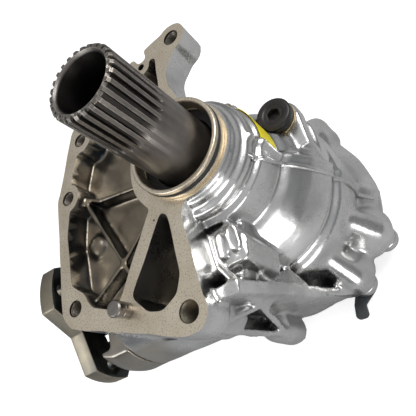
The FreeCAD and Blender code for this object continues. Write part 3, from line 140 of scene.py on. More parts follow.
# %% Turned parts
def soften(corners, radius, steps=3):
    """Closed profile with every corner replaced by a quadratic arc.

    Each arc runs from a point `radius` before the corner to one `radius` after
    it: (1-t)^2 a + 2t(1-t) corner + t^2 b."""
    here = np.asarray(corners, float)
    back, ahead = np.roll(here, 1, 0) - here, np.roll(here, -1, 0) - here
    reach_a = np.minimum(radius, 0.45 * np.linalg.norm(back, axis=1))[:, None]
    reach_b = np.minimum(radius, 0.45 * np.linalg.norm(ahead, axis=1))[:, None]
    a = here + back / np.linalg.norm(back, axis=1)[:, None] * reach_a
    b = here + ahead / np.linalg.norm(ahead, axis=1)[:, None] * reach_b
    t = np.linspace(0, 1, steps)[None, :, None]
    arcs = (1 - t) ** 2 * a[:, None] + 2 * t * (1 - t) * here[:, None] + t ** 2 * b[:, None]
    return arcs.reshape(-1, 2)


def spin(profile, cols=96, centre=(0.0, 0.0, 0.0), outward=False):
    """Points of a (station, radius) profile turned about +Z, or about -X if outward.

    Point = centre + station * axis + radius * (cos, sin) across the axis."""
    station, radius = np.asarray(profile, float).T
    turn = np.linspace(0, 2 * np.pi, cols, endpoint=False)
    across = radius[:, None, None] * np.stack([np.cos(turn), np.sin(turn)], -1)[None]
    along = np.broadcast_to(station[:, None], across.shape[:2])
    if outward:
        points = np.stack([-along, across[..., 1], across[..., 0]], -1)
    else:
        points = np.stack([across[..., 0], across[..., 1], along], -1)
    return points + np.asarray(centre)


def turned(name, corners, radius=0.4, cols=96, centre=(0.0, 0.0, 0.0), outward=False):
    """A solid ring or disc: closed corners (station, radius), softened and spun."""
    grid = spin(soften(corners, radius), cols, centre, outward)
    return put(name, grid, quads(len(grid), cols, wrap_rows=True))


print("softened square:", soften([(0, 0), (1, 0), (1, 1), (0, 1)], 0.1).shape)

# %% [markdown]
# ## Tools for materials
# A small helper adds a node and fills its sockets, so that each finish below
# reads as one recipe. Patterns use Object coordinates, which are metres here:
# a noise scale of 1000 gives features about a millimetre across.

# %% Node helpers
def add(tree, kind, out=0, **settings):
    """Adds a shader node and returns one of its outputs.

    A lower-case setting is set on the node. Others fill an input by name, or by
    number as I0, I1; an output given as a value is linked."""
    made = tree.nodes.new("ShaderNode" + kind)
    for key in [k for k in settings if k[0].islower()]:
        setattr(made, key, settings.pop(key))
    for key, value in settings.items():
        number = key[1:].isdigit() and key[0] == "I"
        socket = made.inputs[int(key[1:])] if number else made.inputs[key.replace("_", " ")]
        if isinstance(value, bpy.types.NodeSocket):
            tree.links.new(value, socket)
        else:
            socket.default_value = value
    return made.outputs[out]


def sums(tree, operation, a, b=0.0, clamp=False):
    """One arithmetic step on a and b; clamp holds the result in 0..1."""
    return add(tree, "Math", operation=operation, use_clamp=clamp, I0=a, I1=b)


def blend(tree, share, a, b):
    """Colour a where share is 0, colour b where it is 1."""
    return add(tree, "Mix", out=2, data_type="RGBA", I0=share, I6=a, I7=b)


def span(tree, value, low, high, to_low=0.0, to_high=1.0):
    """Maps low..high to to_low..to_high and holds the ends."""
    return add(tree, "MapRange", Value=value, From_Min=low, From_Max=high, To_Min=to_low,
               To_Max=to_high)


def noise(tree, place, scale, detail=2.0, rough=0.55):
    """Noise of about 0..1 at place, with detail finer octaves."""
    return add(tree, "TexNoise", Vector=place, Scale=scale, Detail=detail, Roughness=rough)


def new_group(name, inputs, outputs):
    """An empty shader group with named sockets; returns it with its two ends."""
    tree = bpy.data.node_groups.new(name, "ShaderNodeTree")
    for label, kind, value in inputs:
        socket = tree.interface.new_socket(label, in_out="INPUT", socket_type="NodeSocket" + kind)
        if value is not None:
            socket.default_value = value
    for label, kind in outputs:
        tree.interface.new_socket(label, in_out="OUTPUT", socket_type="NodeSocket" + kind)
    return tree, tree.nodes.new("NodeGroupInput"), tree.nodes.new("NodeGroupOutput")


def use(tree, group, out, **settings):
    """Places a group in a material and returns one of its outputs by name."""
    made = tree.nodes.new("ShaderNodeGroup")
    made.node_tree = group
    for key, value in settings.items():
        socket = made.inputs[key.replace("_", " ")]
        if isinstance(value, bpy.types.NodeSocket):
            tree.links.new(value, socket)
        else:
            socket.default_value = value
    return made.outputs[out]


print("node helpers ready")

# %% [markdown]
# Three effects are shared. Cast grain is the orange-peel skin of a die casting:
# a slow waviness, a soft pebble and a fine tooth. Edge wear finds the edges by
# comparing the true normal with one rounded by the Bevel node, and bares metal
# there. Corner shade is painted shade: it darkens the colour where surfaces face
# each other, which ambient occlusion measures, broken up by blotches.

# %% Shared effects
def make_cast_grain():
    """Height = waviness + pebble + tooth; Mottle = a slow change of tone."""
    tree, given, result = new_group("cast_grain", [("Size", "Float", 1.0)],
                                    [("Height", "Float"), ("Mottle", "Float")])
    place = add(tree, "TexCoord", out=3)
    size = given.outputs["Size"]
    wave = noise(tree, place, sums(tree, "MULTIPLY", size, 55.0), 2.0)
    pebble = noise(tree, place, sums(tree, "MULTIPLY", size, 230.0), 3.0)
    tooth = noise(tree, place, sums(tree, "MULTIPLY", size, 1100.0), 2.0)
    height = sums(tree, "ADD", sums(tree, "MULTIPLY", wave, 1.5),
                  sums(tree, "MULTIPLY", pebble, 0.06))
    height = sums(tree, "ADD", height, sums(tree, "MULTIPLY", tooth, 0.012))
    mottle = sums(tree, "ADD", sums(tree, "MULTIPLY", noise(tree, place, 24.0, 4.0), 0.86),
                  sums(tree, "MULTIPLY", noise(tree, place, 420.0, 2.0), 0.14))
    tree.links.new(height, result.inputs["Height"])
    tree.links.new(mottle, result.inputs["Mottle"])
    return tree


def make_edge_wear():
    """Mask = how far the rounded normal turns from the true one, broken by noise."""
    tree, given, result = new_group("edge_wear", [("Radius", "Float", 0.0008),
                                                  ("Breakup", "Float", 300.0)],
                                    [("Mask", "Float")])
    rounded = add(tree, "Bevel", samples=6, Radius=given.outputs["Radius"])
    true = add(tree, "NewGeometry", out=1)
    agree = add(tree, "VectorMath", out=1, operation="DOT_PRODUCT", I0=rounded, I1=true)
    turned_away = sums(tree, "SUBTRACT", 1.0, agree)
    broken = noise(tree, add(tree, "TexCoord", out=3), given.outputs["Breakup"], 3.0)
    mask = sums(tree, "MULTIPLY", span(tree, turned_away, 0.01, 0.12),
                span(tree, broken, 0.3, 0.6))
    tree.links.new(mask, result.inputs["Mask"])
    return tree


def make_corner_shade():
    """Mask of painted shade = closeness of other surfaces times a blotchy noise."""
    tree, given, result = new_group("corner_shade", [("Reach", "Float", 0.012),
                                              ("Amount", "Float", 1.0)],
                                    [("Mask", "Float")])
    open_share = add(tree, "AmbientOcclusion", out=1, samples=4, Distance=given.outputs["Reach"])
    close = span(tree, open_share, 0.85, 0.25)
    blotch = noise(tree, add(tree, "TexCoord", out=3), 70.0, 4.0)
    mask = sums(tree, "MULTIPLY", close, span(tree, blotch, 0.25, 0.65, 0.45, 1.0))
    mask = sums(tree, "MULTIPLY", mask, given.outputs["Amount"], clamp=True)
    tree.links.new(mask, result.inputs["Mask"])
    return tree


CAST_GRAIN, EDGE_WEAR, CORNER_SHADE = make_cast_grain(), make_edge_wear(), make_corner_shade()
print("groups:", [g.name for g in bpy.data.node_groups])

# %% [markdown]
# ## Finishes
# Bare die-cast aluminium is a bright, neutral grey. Its skin is smooth enough to
# blur reflections without hiding them, and painted shade darkens its corners. Oil
# has stained the flange pockets and the nose, so their colours come from two masks
# on the mesh: "pocket" says how oily, and "pocket_floor" parts floors from walls,
# on which the stain is painted darker and bluer as shade.

# %% Cast aluminium
def start(name, **values):
    """A material with one Principled shader; plain numbers go straight on it."""
    material = bpy.data.materials.new(name)
    material.use_nodes = True
    tree = material.node_tree
    shader = tree.nodes["Principled BSDF"]
    for key, value in values.items():
        shader.inputs[key.replace("_", " ")].default_value = value
    return material, tree, shader


def feed(tree, shader, **links):
    """Links outputs to the shader's inputs of the given names."""
    for key, value in links.items():
        tree.links.new(value, shader.inputs[key.replace("_", " ")])


def cast_finish(name, clean, worn, dark, rough, oily=False):
    """Cast skin: clean and worn tones in a slow random mottle, and painted shade where surfaces
    face each other.
    """
    material, tree, shader = start(name, Metallic=1.0)
    mottle = use(tree, CAST_GRAIN, "Mottle", Size=1.0)
    height = use(tree, CAST_GRAIN, "Height", Size=1.0)
    corner_shade = use(tree, CORNER_SHADE, "Mask", Reach=0.012, Amount=0.9)
    colour = blend(tree, span(tree, mottle, 0.35, 0.62), clean, worn)
    # Painted shade: the colour goes towards the dark one in the corners.
    colour = blend(tree, corner_shade, colour, dark)
    roughness = span(tree, mottle, 0.35, 0.65, rough - 0.05, rough + 0.09)
    if oily:
        pocket = add(tree, "Attribute", out=2, attribute_name="pocket")
        level = add(tree, "Attribute", out=2, attribute_name="pocket_floor")
        stain = noise(tree, add(tree, "TexCoord", out=3), 45.0, 3.0)
        # The stain is painted darker and bluer on the walls, as shade, than on the floors.
        shaded_wall = blend(tree, span(tree, stain, 0.35, 0.62), (0.05, 0.065, 0.085, 1),
                     (0.13, 0.12, 0.11, 1))
        lit_floor = blend(tree, span(tree, stain, 0.3, 0.7), (0.18, 0.155, 0.12, 1),
                       (0.33, 0.275, 0.20, 1))
        colour = blend(tree, pocket, colour, blend(tree, level, shaded_wall, lit_floor))
        roughness = add(tree, "Mix", I0=pocket, I2=roughness, I3=0.32)
    bump = add(tree, "Bump", Strength=0.4, Distance=0.0009, Height=height)
    feed(tree, shader, Base_Color=colour, Roughness=roughness, Normal=bump)
    return material


CAST = cast_finish("cast_aluminium", (0.82, 0.815, 0.80, 1), (0.58, 0.58, 0.57, 1),
                   (0.13, 0.13, 0.125, 1), 0.26, oily=True)
print("cast finish:", CAST.name)

# %% [markdown]
# The mounting face is milled after casting. The cutter leaves a warm, flat
# sheen with faint arcs, and storage leaves fine dark specks.

# %% Milled aluminium
def milled_finish():
    """Warm metal with ring-shaped tool marks and dark specks."""
    material, tree, shader = start("milled_face", Metallic=1.0)
    place = add(tree, "TexCoord", out=3)
    arcs = add(tree, "TexWave", out=1, wave_type="RINGS", rings_direction="Z", Scale=420.0,
               Distortion=1.5, Detail=2.0,
               Vector=add(tree, "Mapping", Vector=place, Location=(0.31, 0.12, 0.0)))
    specks = noise(tree, place, 900.0, 3.0, 0.7)
    patches = noise(tree, place, 40.0, 4.0)
    colour = blend(tree, span(tree, patches, 0.35, 0.65), (0.88, 0.78, 0.62, 1),
                   (0.70, 0.61, 0.47, 1))
    colour = blend(tree, span(tree, specks, 0.54, 0.70), colour, (0.24, 0.20, 0.15, 1))
    height = sums(tree, "ADD", sums(tree, "MULTIPLY", arcs, 0.4), specks)
    bump = add(tree, "Bump", Strength=0.25, Distance=0.0002, Height=height)
    roughness = span(tree, patches, 0.3, 0.7, 0.30, 0.44)
    feed(tree, shader, Base_Color=colour, Roughness=roughness, Normal=bump)
    return material


MILLED = milled_finish()
print("milled finish:", MILLED.name)

# %% [markdown]
# Steel comes in four states here: dark heat-treated steel that is bright where
# it has rubbed, turned steel, zinc-plated bolts and oiled black forgings. They
# share one recipe with different colours, and so does the brass of the washers.

# %% Steels
def steel_finish(name, base, second, bare, rough, wear=0.0008, tone=60.0, shade_amount=0.8, shaded_recesses=False):
    """Two tones of one steel, bare metal on the edges, painted shade in the corners.

    If asked, painted shade darkens it where the mesh's recess mask is 1."""
    material, tree, shader = start(name, Metallic=1.0)
    place = add(tree, "TexCoord", out=3)
    cloud = noise(tree, place, tone, 4.0)
    specks = noise(tree, place, 1400.0, 3.0, 0.7)
    edge = use(tree, EDGE_WEAR, "Mask", Radius=wear, Breakup=260.0)
    corner_shade = use(tree, CORNER_SHADE, "Mask", Reach=0.006, Amount=shade_amount)
    colour = blend(tree, span(tree, cloud, 0.35, 0.65), base, second)
    colour = blend(tree, edge, colour, bare)
    # Painted shade in the corners: the base colour at 0.35 of its brightness.
    colour = blend(tree, corner_shade, colour, tuple(0.35 * v for v in base[:3]) + (1,))
    if shaded_recesses:
        # Painted shade, near black, in the recesses that the mask marks.
        recess_shade = add(tree, "Attribute", out=2, attribute_name="recess_shade")
        colour = blend(tree, recess_shade, colour, (0.030, 0.027, 0.025, 1))
    roughness = span(tree, cloud, 0.3, 0.7, rough, rough + 0.12)
    bump = add(tree, "Bump", Strength=0.3, Distance=0.0002, Height=specks)
    feed(tree, shader, Base_Color=colour, Roughness=roughness, Normal=bump)
    return material


SPLINE_STEEL = steel_finish("spline_steel", (0.19, 0.175, 0.165, 1), (0.26, 0.235, 0.21, 1),
                            (0.72, 0.66, 0.58, 1), 0.34, 0.0009, shaded_recesses=True)
TURNED_STEEL = steel_finish("turned_steel", (0.50, 0.49, 0.47, 1), (0.42, 0.41, 0.39, 1),
                            (0.8, 0.79, 0.77, 1), 0.25)
ZINC = steel_finish("zinc_plate", (0.58, 0.58, 0.56, 1), (0.48, 0.48, 0.45, 1),
                    (0.75, 0.75, 0.74, 1), 0.32)
GEAR_STEEL = steel_finish("gear_steel", (0.36, 0.36, 0.37, 1), (0.30, 0.30, 0.31, 1),
                          (0.7, 0.7, 0.7, 1), 0.28)
BEARING = steel_finish("bearing_steel", (0.66, 0.66, 0.68, 1), (0.6, 0.6, 0.62, 1),
                       (0.8, 0.8, 0.8, 1), 0.15)
BLACK_STEEL = steel_finish("oiled_black_steel", (0.060, 0.068, 0.066, 1),
                           (0.095, 0.098, 0.092, 1), (0.5, 0.47, 0.40, 1), 0.28, 0.0010)
RIM_STEEL = steel_finish("turned_rim", (0.36, 0.31, 0.23, 1), (0.26, 0.24, 0.20, 1),
                         (0.6, 0.56, 0.48, 1), 0.40)
# Painted shade for the threaded holes of the case: a dark, brownish steel that makes them look
# deep.
SHADED_BORE = steel_finish("shaded_bore", (0.16, 0.14, 0.12, 1), (0.24, 0.21, 0.17, 1),
                         (0.5, 0.46, 0.4, 1), 0.35)
PIN_STEEL = steel_finish("pin_steel", (0.24, 0.225, 0.21, 1), (0.32, 0.29, 0.26, 1),
                         (0.65, 0.6, 0.55, 1), 0.3)
BRASS = steel_finish("dull_brass", (0.46, 0.36, 0.20, 1), (0.36, 0.29, 0.18, 1),
                     (0.75, 0.64, 0.42, 1), 0.34)
print("steels:", len([m for m in bpy.data.materials if "steel" in m.name]))

# %% [markdown]
# Rubber, the black plug, the bracket's coating and the label aren't metal. They
# share one recipe too: a base colour, a slight second tone and dull scuffs.

# %% Rubber, coating and label
def coated_finish(name, base, second, rough, scuff=0.25):
    """Two tones of a coating, with edges scuffed by the given share."""
    material, tree, shader = start(name, Metallic=0.0, Specular_IOR_Level=0.4)
    place = add(tree, "TexCoord", out=3)
    cloud = noise(tree, place, 120.0, 4.0)
    scuffs = noise(tree, place, 700.0, 4.0, 0.7)
    edge = use(tree, EDGE_WEAR, "Mask", Radius=0.0006, Breakup=300.0)
    colour = blend(tree, span(tree, cloud, 0.35, 0.65), base, second)
    colour = blend(tree, sums(tree, "MULTIPLY", edge, scuff), colour, (0.5, 0.48, 0.44, 1))
    roughness = span(tree, scuffs, 0.3, 0.7, rough, rough + 0.15)
    bump = add(tree, "Bump", Strength=0.3, Distance=0.0002, Height=scuffs)
    feed(tree, shader, Base_Color=colour, Roughness=roughness, Normal=bump)
    return material


RUBBER = coated_finish("seal_rubber", (0.018, 0.018, 0.018, 1), (0.03, 0.03, 0.03, 1), 0.45, 0.0)
PLUG_BLACK = coated_finish("black_plug", (0.010, 0.010, 0.010, 1), (0.022, 0.018, 0.016, 1),
                           0.30, 0.08)
BRACKET_BLACK = coated_finish("black_bracket", (0.03, 0.034, 0.036, 1),
                              (0.045, 0.048, 0.05, 1), 0.35)
LABEL_YELLOW = coated_finish("yellow_label", (0.86, 0.74, 0.02, 1), (0.78, 0.65, 0.02, 1),
                             0.35, 0.0)
print("materials:", len(bpy.data.materials))

# %% [markdown]
# ## Castings
# A real casting has no sharp corner that wasn't machined. So the CAD solid is
# copied, its machined faces are grown past their final place and its holes are
# plugged, the whole is turned into one even skin of small quads, and that skin
# is relaxed so that every corner rounds off. Slow waves a fraction of a millimetre
# high make its reflections wander. Then the milled face and the holes are cut
# again, crisp, just as the real case is cast first and milled after.

# %% Copy, plug and relax
def solid_copy(node):
    """Points (mm) and triangles of a CAD node, with its loose triangles joined."""
    work = bmesh.new()
    work.from_mesh(nodes[node].data)
    bmesh.ops.remove_doubles(work, verts=work.verts, dist=1e-6)
    bmesh.ops.triangulate(work, faces=work.faces)
    work.verts.ensure_lookup_table()
    points = np.array([v.co[:] for v in work.verts]) / MM
    faces = np.array([[v.index for v in f.verts] for f in work.faces])
    work.free()
    return points, faces


def together(solids):
    """Points and faces of several closed solids in one list."""
    offsets = np.cumsum([0] + [len(points) for points, faces in solids])
    faces = [face for (points, tris), at in zip(solids, offsets) for face in (tris + at).tolist()]
    return np.vstack([points for points, tris in solids]), faces


def plug(x, y, r, top, low, cols=32, outward=False):
    """Closed cylinder used as a plug or as a cutter, along Z or along -X."""
    centre = (0.0, x, y) if outward else (x, y, 0.0)
    grid = spin([(low, 0.001), (low, r), (top, r), (top, 0.001)], cols, centre, outward)
    return grid.reshape(-1, 3), quads(4, cols, wrap_rows=True)


def raw_object(name, points, faces):
    """An object from points in mm, with coinciding points joined and normals outward."""
    mesh = bpy.data.meshes.new(name)
    mesh.from_pydata((np.asarray(points) * MM).tolist(), [], list(map(list, faces)))
    work = bmesh.new()
    work.from_mesh(mesh)
    bmesh.ops.remove_doubles(work, verts=work.verts, dist=3e-6)
    bmesh.ops.recalc_face_normals(work, faces=work.faces)
    work.to_mesh(mesh)
    work.free()
    piece = bpy.data.objects.new(name, mesh)
    bpy.context.scene.collection.objects.link(piece)
    return piece


def settle(piece):
    """Replaces the piece's mesh by the result of its modifiers."""
    graph = bpy.context.evaluated_depsgraph_get()
    done = bpy.data.meshes.new_from_object(piece.evaluated_get(graph))
    piece.modifiers.clear()
    old, piece.data = piece.data, done
    bpy.data.meshes.remove(old)
    return piece


def relax(mesh, rounds, pull=0.5, push=0.0, share_at=None):
    """Moves each vertex towards the mean of its neighbours, then back by push.

    p = p + pull * (mean - p), then p = p - push * (mean - p), each times the
    vertex's own share, which share_at works out from the points in mm."""
    count = len(mesh.vertices)
    place = np.empty(count * 3)
    mesh.vertices.foreach_get("co", place)
    place = place.reshape(-1, 3)
    edges = np.empty(len(mesh.edges) * 2, int)
    mesh.edges.foreach_get("vertices", edges)
    a, b = edges.reshape(-1, 2).T
    links = np.bincount(a, minlength=count) + np.bincount(b, minlength=count)
    weight = np.ones(count) if share_at is None else share_at(place / MM)
    for _ in range(rounds):
        for share in (pull, -push) if push else (pull,):
            total = np.stack([np.bincount(a, place[b, k], count)
                              + np.bincount(b, place[a, k], count) for k in range(3)], -1)
            place += share * weight[:, None] * (total / links[:, None] - place)
    mesh.vertices.foreach_set("co", place.ravel())
    mesh.update()


def ripple(mesh, height, lengths, seed=5):
    """Moves each vertex along its normal by a sum of slow waves.

    Offset = height / count * sum of sin(2 pi direction . p / length + phase)."""
    count = len(mesh.vertices)
    place, normal = np.empty(count * 3), np.empty(count * 3)
    mesh.vertices.foreach_get("co", place)
    mesh.vertices.foreach_get("normal", normal)
    draw = np.random.default_rng(seed)
    offset = np.zeros(count)
    for length in lengths:
        way = draw.normal(size=3)
        way /= np.linalg.norm(way)
        offset += np.sin(2 * np.pi * place.reshape(-1, 3) @ way / (length * MM)
                         + draw.uniform(0, 2 * np.pi))
    offset *= height * MM / len(lengths)
    place = place.reshape(-1, 3) + normal.reshape(-1, 3) * offset[:, None]
    place = np.clip(place, *np.array(cad_box))
    mesh.vertices.foreach_set("co", place.ravel())
    mesh.update()


WAVE_HEIGHT, WAVES = 0.9, (62.0, 50.0, 41.0, 33.0, 27.0, 22.0)    # millimetres


def skin_over(name, solids, grain, soft, firm=4, share_at=None, extra=0):
    """One even skin over overlapping solids, with rounded corners."""
    piece = raw_object(name, *together(solids))
    piece.data.materials.append(CAST)
    remesh = piece.modifiers.new("skin", "REMESH")
    remesh.mode, remesh.voxel_size, remesh.use_smooth_shade = "VOXEL", grain * MM, True
    settle(piece)
    relax(piece.data, soft)
    if extra:
        relax(piece.data, extra, share_at=share_at)
    relax(piece.data, firm, 0.5, 0.52)
    ripple(piece.data, WAVE_HEIGHT, WAVES)
    return piece


def carve(piece, solids, material):
    """Cuts closed solids out of a piece; the new walls take the material."""
    tool = raw_object(piece.name + "_cutter", *together(solids))
    tool.data.materials.append(material)
    cut = piece.modifiers.new("cut", "BOOLEAN")
    cut.operation, cut.object, cut.solver = "DIFFERENCE", tool, "MANIFOLD"
    cut.material_mode = "TRANSFER"
    settle(piece)
    bpy.data.objects.remove(tool)


def thin_out(piece, triangles):
    """Collapses the least needed edges until few enough triangles are left."""
    now = sum(len(p.vertices) - 2 for p in piece.data.polygons)
    if now > triangles:
        fewer = piece.modifiers.new("fewer", "DECIMATE")
        fewer.ratio = triangles / now
        settle(piece)


print("casting tools ready")

# %% [markdown]
# Oil has settled in the pockets of the mounting flange and run over the nose
# below them. A point is in a pocket if it is inside the outline of the flange,
# below the face, and on a wall that looks inward or on a floor.

# %% Where the main case is oily
def in_outline(points, outline):
    """True where a point lies inside a closed outline (crossing count)."""
    x, y = points[:, 0:1], points[:, 1:2]
    a, b = np.asarray(outline, float), np.roll(np.asarray(outline, float), -1, 0)
    spans = (a[:, 1] > y) != (b[:, 1] > y)
    rise = np.where(b[:, 1] == a[:, 1], 1e-9, b[:, 1] - a[:, 1])
    cross = a[:, 0] + (y - a[:, 1]) * (b[:, 0] - a[:, 0]) / rise
    return (np.sum(spans & (x < cross), axis=1) % 2) == 1


FLANGE_OUTLINE = [(-98, 82), (-110, 57), (-125, 21), (-129, -40), (-130, -84), (-26, -127),
                  (-10, -118), (-13, -48), (-30, -33), (-42, 0), (-30, 33), (-8, 44),
                  (-4, 66), (0, 101), (-26, 104)]


POCKET_TOP, POCKET_LOW = -0.6, -49.5
NOSE_X, NOSE_Z = -62.0, -26.0               # the nose starts beyond this x and below this z
NOSE_OIL = 0.62


def mark_pockets(mesh):
    """Masks for the oil: 1 in the flange pockets and NOSE_OIL on the nose, else 0."""
    place = np.empty(len(mesh.vertices) * 3)
    mesh.vertices.foreach_get("co", place)
    place = place.reshape(-1, 3) / MM
    depth = place[:, 2]
    mask = in_outline(place, FLANGE_OUTLINE) & (depth < POCKET_TOP) & (depth > POCKET_LOW)
    normal = np.empty(len(mesh.vertices) * 3)
    mesh.vertices.foreach_get("normal", normal)
    centre = np.array([-66.0, -14.0])
    facing = np.sum((centre - place[:, :2]) * normal.reshape(-1, 3)[:, :2], axis=1)
    mask &= (facing > 0) | (normal.reshape(-1, 3)[:, 2] > 0.3)
    nose = np.clip((NOSE_X - place[:, 0]) / 16.0, 0, 1) * np.clip((NOSE_Z - depth) / 6.0, 0, 1)
    layer = mesh.attributes.new("pocket", "FLOAT", "POINT")
    layer.data.foreach_set("value", np.maximum(mask, NOSE_OIL * nose * ~mask))
    # Second mask: 1 on pocket floors and outside the pockets, 0 on pocket walls, which take
    # painted shade.
    level = np.clip((normal.reshape(-1, 3)[:, 2] - 0.45) / 0.4, 0, 1) * mask + (1.0 - mask)
    layer = mesh.attributes.new("pocket_floor", "FLOAT", "POINT")
    layer.data.foreach_set("value", level)
    return int(mask.sum())


print("corners of the flange outline:", len(FLANGE_OUTLINE))

# %% [markdown]
# Low on the drum the skin is relaxed more, and half domes tie the joint bosses
# into it, because the castings are broad and soft there. The holes are cut with
# ridged cutters, whose rings leave the threads.

# %% Ties and thread cutters
LOBE_AT, LOBE_R, LOBE_RISE = 81.0, 24.0, 34.0     # distance from the input axis, size


def bolt_lobe(angle, low, r=LOBE_R, rise=LOBE_RISE, rows=10, cols=32):
    """Half dome that ties a joint boss into the drum: r sqrt(1 - ((z - low)/rise)^2)."""
    x, y = LOBE_AT * math.cos(math.radians(angle)), LOBE_AT * math.sin(math.radians(angle))
    top = low + rise
    z = np.linspace(low, top, rows)
    across = r * np.sqrt(np.clip(1 - ((z - low) / rise) ** 2, 0, 1))
    profile = [(low, 0.001)] + list(zip(z, np.maximum(across, 0.5))) + [(top, 0.001)]
    grid = spin(profile, cols, (x, y, 0.0))
    return grid.reshape(-1, 3), quads(len(profile), cols, wrap_rows=True)


SOFT_FROM, SOFT_OVER, CRISP_OVER = -88.0, 30.0, 7.0


def lobes(place):
    """Share 1 on the drum and its joint bosses, fading out above and at the joint."""
    z = place[:, 2]
    low_enough = np.clip((SOFT_FROM - z) / SOFT_OVER, 0, 1)
    return low_enough * np.clip((z - JOINT_Z - 1.0) / CRISP_OVER, 0, 1)


def threaded(x, y, r, low, top=5.0, pitch=1.5, depth=0.45, cols=40):
    """Cutter with ring ridges: radius = r + depth on every second row."""
    station = np.arange(low, top, pitch / 2)
    ridged = r + depth * (np.arange(len(station)) % 2)
    ridged[station > -1.5] = r
    profile = [(low, 0.001)] + list(zip(station, ridged)) + [(top, r), (top, 0.001)]
    grid = spin(profile, cols, (x, y, 0.0))
    return grid.reshape(-1, 3), quads(len(profile), cols, wrap_rows=True)


ties = [bolt_lobe(angle, JOINT_Z) for angle in JOINT_BOLTS]
drill = [threaded(x, y, r, -deep) for x, y, r, deep in HOLES[:4]]
corner = [threaded(x, y, r, -deep) for x, y, r, deep in HOLES[4:]]
print("ties:", len(ties), "thread cutters:", len(drill + corner))

# %% [markdown]
# The main case is the biggest piece. Its face rim is raised four millimetres
# before the skin goes on, so that the milled plane at height 0 leaves a crisp
# edge all round the pockets. The cuts follow: the plane, the threaded holes and
# the milled rooms in which the two spur gears turn.

# %% The main case
CASE_GRAIN, CASE_LIMIT = 1.3, 190000        # size of the skin's squares in mm, triangles
FACE_RAISE, COUNTERSINK = 4.0, -1.2
points, faces = solid_copy("main_case")
level = points[:, 2]
top = (np.abs(level) < 0.05) | (np.abs(level - COUNTERSINK) < 0.05)
points[top, 2] = FACE_RAISE
plugs = [plug(x, y, r + 1.0, FACE_RAISE, -deep - 1.0) for x, y, r, deep in HOLES]
case = skin_over("main_case_casting", [(points, faces)] + plugs + ties, CASE_GRAIN, 5,
                 share_at=lobes, extra=22)
print("skin points:", len(case.data.vertices))
face_cut = [plug(-60.0, 0.0, 200.0, 60.0, 0.0, 8)]
thin_out(case, CASE_LIMIT)
carve(case, face_cut, MILLED)
# The walls of the threaded holes take steel colours darker than the milled face, as painted shade
# for their depth.
carve(case, drill, SHADED_BORE)
carve(case, corner, RIM_STEEL)
for y, room_r in GEAR_ROOMS:
    carve(case, [plug(y, OUT_Z, room_r, GEAR_ROOM_END, GEAR_ROOM_U, 96, outward=True)], MILLED)
case.data.shade_smooth()
case.data.set_sharp_from_angle(angle=math.radians(38))
print("pocket points:", mark_pockets(case.data), "materials:", len(case.data.materials))
show(case, "case", "cast_aluminium")
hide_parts("main_case")

# %% [markdown]
# The two halves of the casting die meet along a line, and a raised seam stays
# there. It is a bead: a small circle carried along the outline of the drum.
# Its direction round the drum drifts a little, as the die's split does.

# %% Parting seam
SEAM = np.array([(-13.5, 46.6, -27.5), (-18.5, 47.4, -27.0), (-22.0, 45.6, -26.5),
                 (-26.0, 46.4, -25.5), (-29.0, 50.2, -24.0), (-42.0, 50.5, -21.0),
                 (-54.0, 50.8, -17.5), (-58.0, 54.0, -17.0), (-63.0, 58.8, -17.0),
                 (-70.0, 63.8, -16.8), (-80.0, 69.2, -16.4), (-92.0, 74.0, -15.6),
                 (-99.0, 74.6, -15.0), (-104.0, 72.8, -14.7), (-111.0, 76.6, -14.3),
                 (-120.0, 79.6, -14.2), (-142.0, 80.0, -13.6), (-150.0, 78.6, -13.8),
                 (-158.0, 82.4, -14.0), (-166.0, 87.6, -14.0), (-174.5, 91.0, -14.0)])


def bead(name, path, thick, fine=90, ring=12):
    """Tube along a path: path point + thick (cos e1 + sin e2), e1, e2 across the path."""
    share = np.linspace(0, len(path) - 1, fine)
    z, r, angle = (np.interp(share, np.arange(len(path)), path[:, k]) for k in range(3))
    turn = np.radians(angle)
    line = np.stack([r * np.cos(turn), r * np.sin(turn), z], -1)
    along = np.gradient(line, axis=0)
    along /= np.linalg.norm(along, axis=1)[:, None]
    side = np.stack([-np.sin(turn), np.cos(turn), 0 * turn], -1)
    side -= along * np.sum(side * along, axis=1)[:, None]
    side /= np.linalg.norm(side, axis=1)[:, None]
    out = np.cross(along, side)
    a = np.linspace(0, 2 * np.pi, ring, endpoint=False)[None, :, None]
    size = thick * np.clip(np.minimum(share, len(path) - 1 - share), 0.02, 1)[:, None, None]
    grid = line[:, None] + size * (np.cos(a) * side[:, None] + np.sin(a) * out[:, None])
    faces = quads(fine, ring).tolist()
    faces += [list(range(ring)), list(range((fine - 1) * ring, fine * ring))]
    return put(name, grid, faces, 60)


seam = bead("parting_seam", SEAM + np.array([0.0, 0.5, 0.0]), 2.2)
for label, value in (("pocket", 0.0), ("pocket_floor", 1.0)):
    seam.data.attributes.new(label, "FLOAT", "POINT").data.foreach_set(
        "value", np.full(len(seam.data.vertices), value))
show(seam, "case", "cast_aluminium", CAST)

# %% [markdown]
# The end cover and the output housing are castings too, so they get the same
# treatment with a finer skin. Their joint faces stay hidden.

# %% End cover and output housing
def small_casting(node, grain, soft, limit, stain=0.0):
    """A smaller casting in one even oil stain, from the solid of its node."""
    piece = skin_over(node + "_casting", [solid_copy(node)], grain, soft)
    thin_out(piece, limit)
    piece.data.shade_smooth()
    piece.data.set_sharp_from_angle(angle=math.radians(45))
    count = len(piece.data.vertices)
    for label, value in (("pocket", stain), ("pocket_floor", 1.0)):
        layer = piece.data.attributes.new(label, "FLOAT", "POINT")
        layer.data.foreach_set("value", np.full(count, value))
    show(piece, "case", "cast_aluminium")
    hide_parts(node)


SMALL_LIMIT = 90000                         # triangles
small_casting("end_cover", grain=1.3, soft=4, limit=SMALL_LIMIT)
small_casting("output_housing", grain=1.1, soft=3, limit=SMALL_LIMIT, stain=0.75)
print("small castings done")
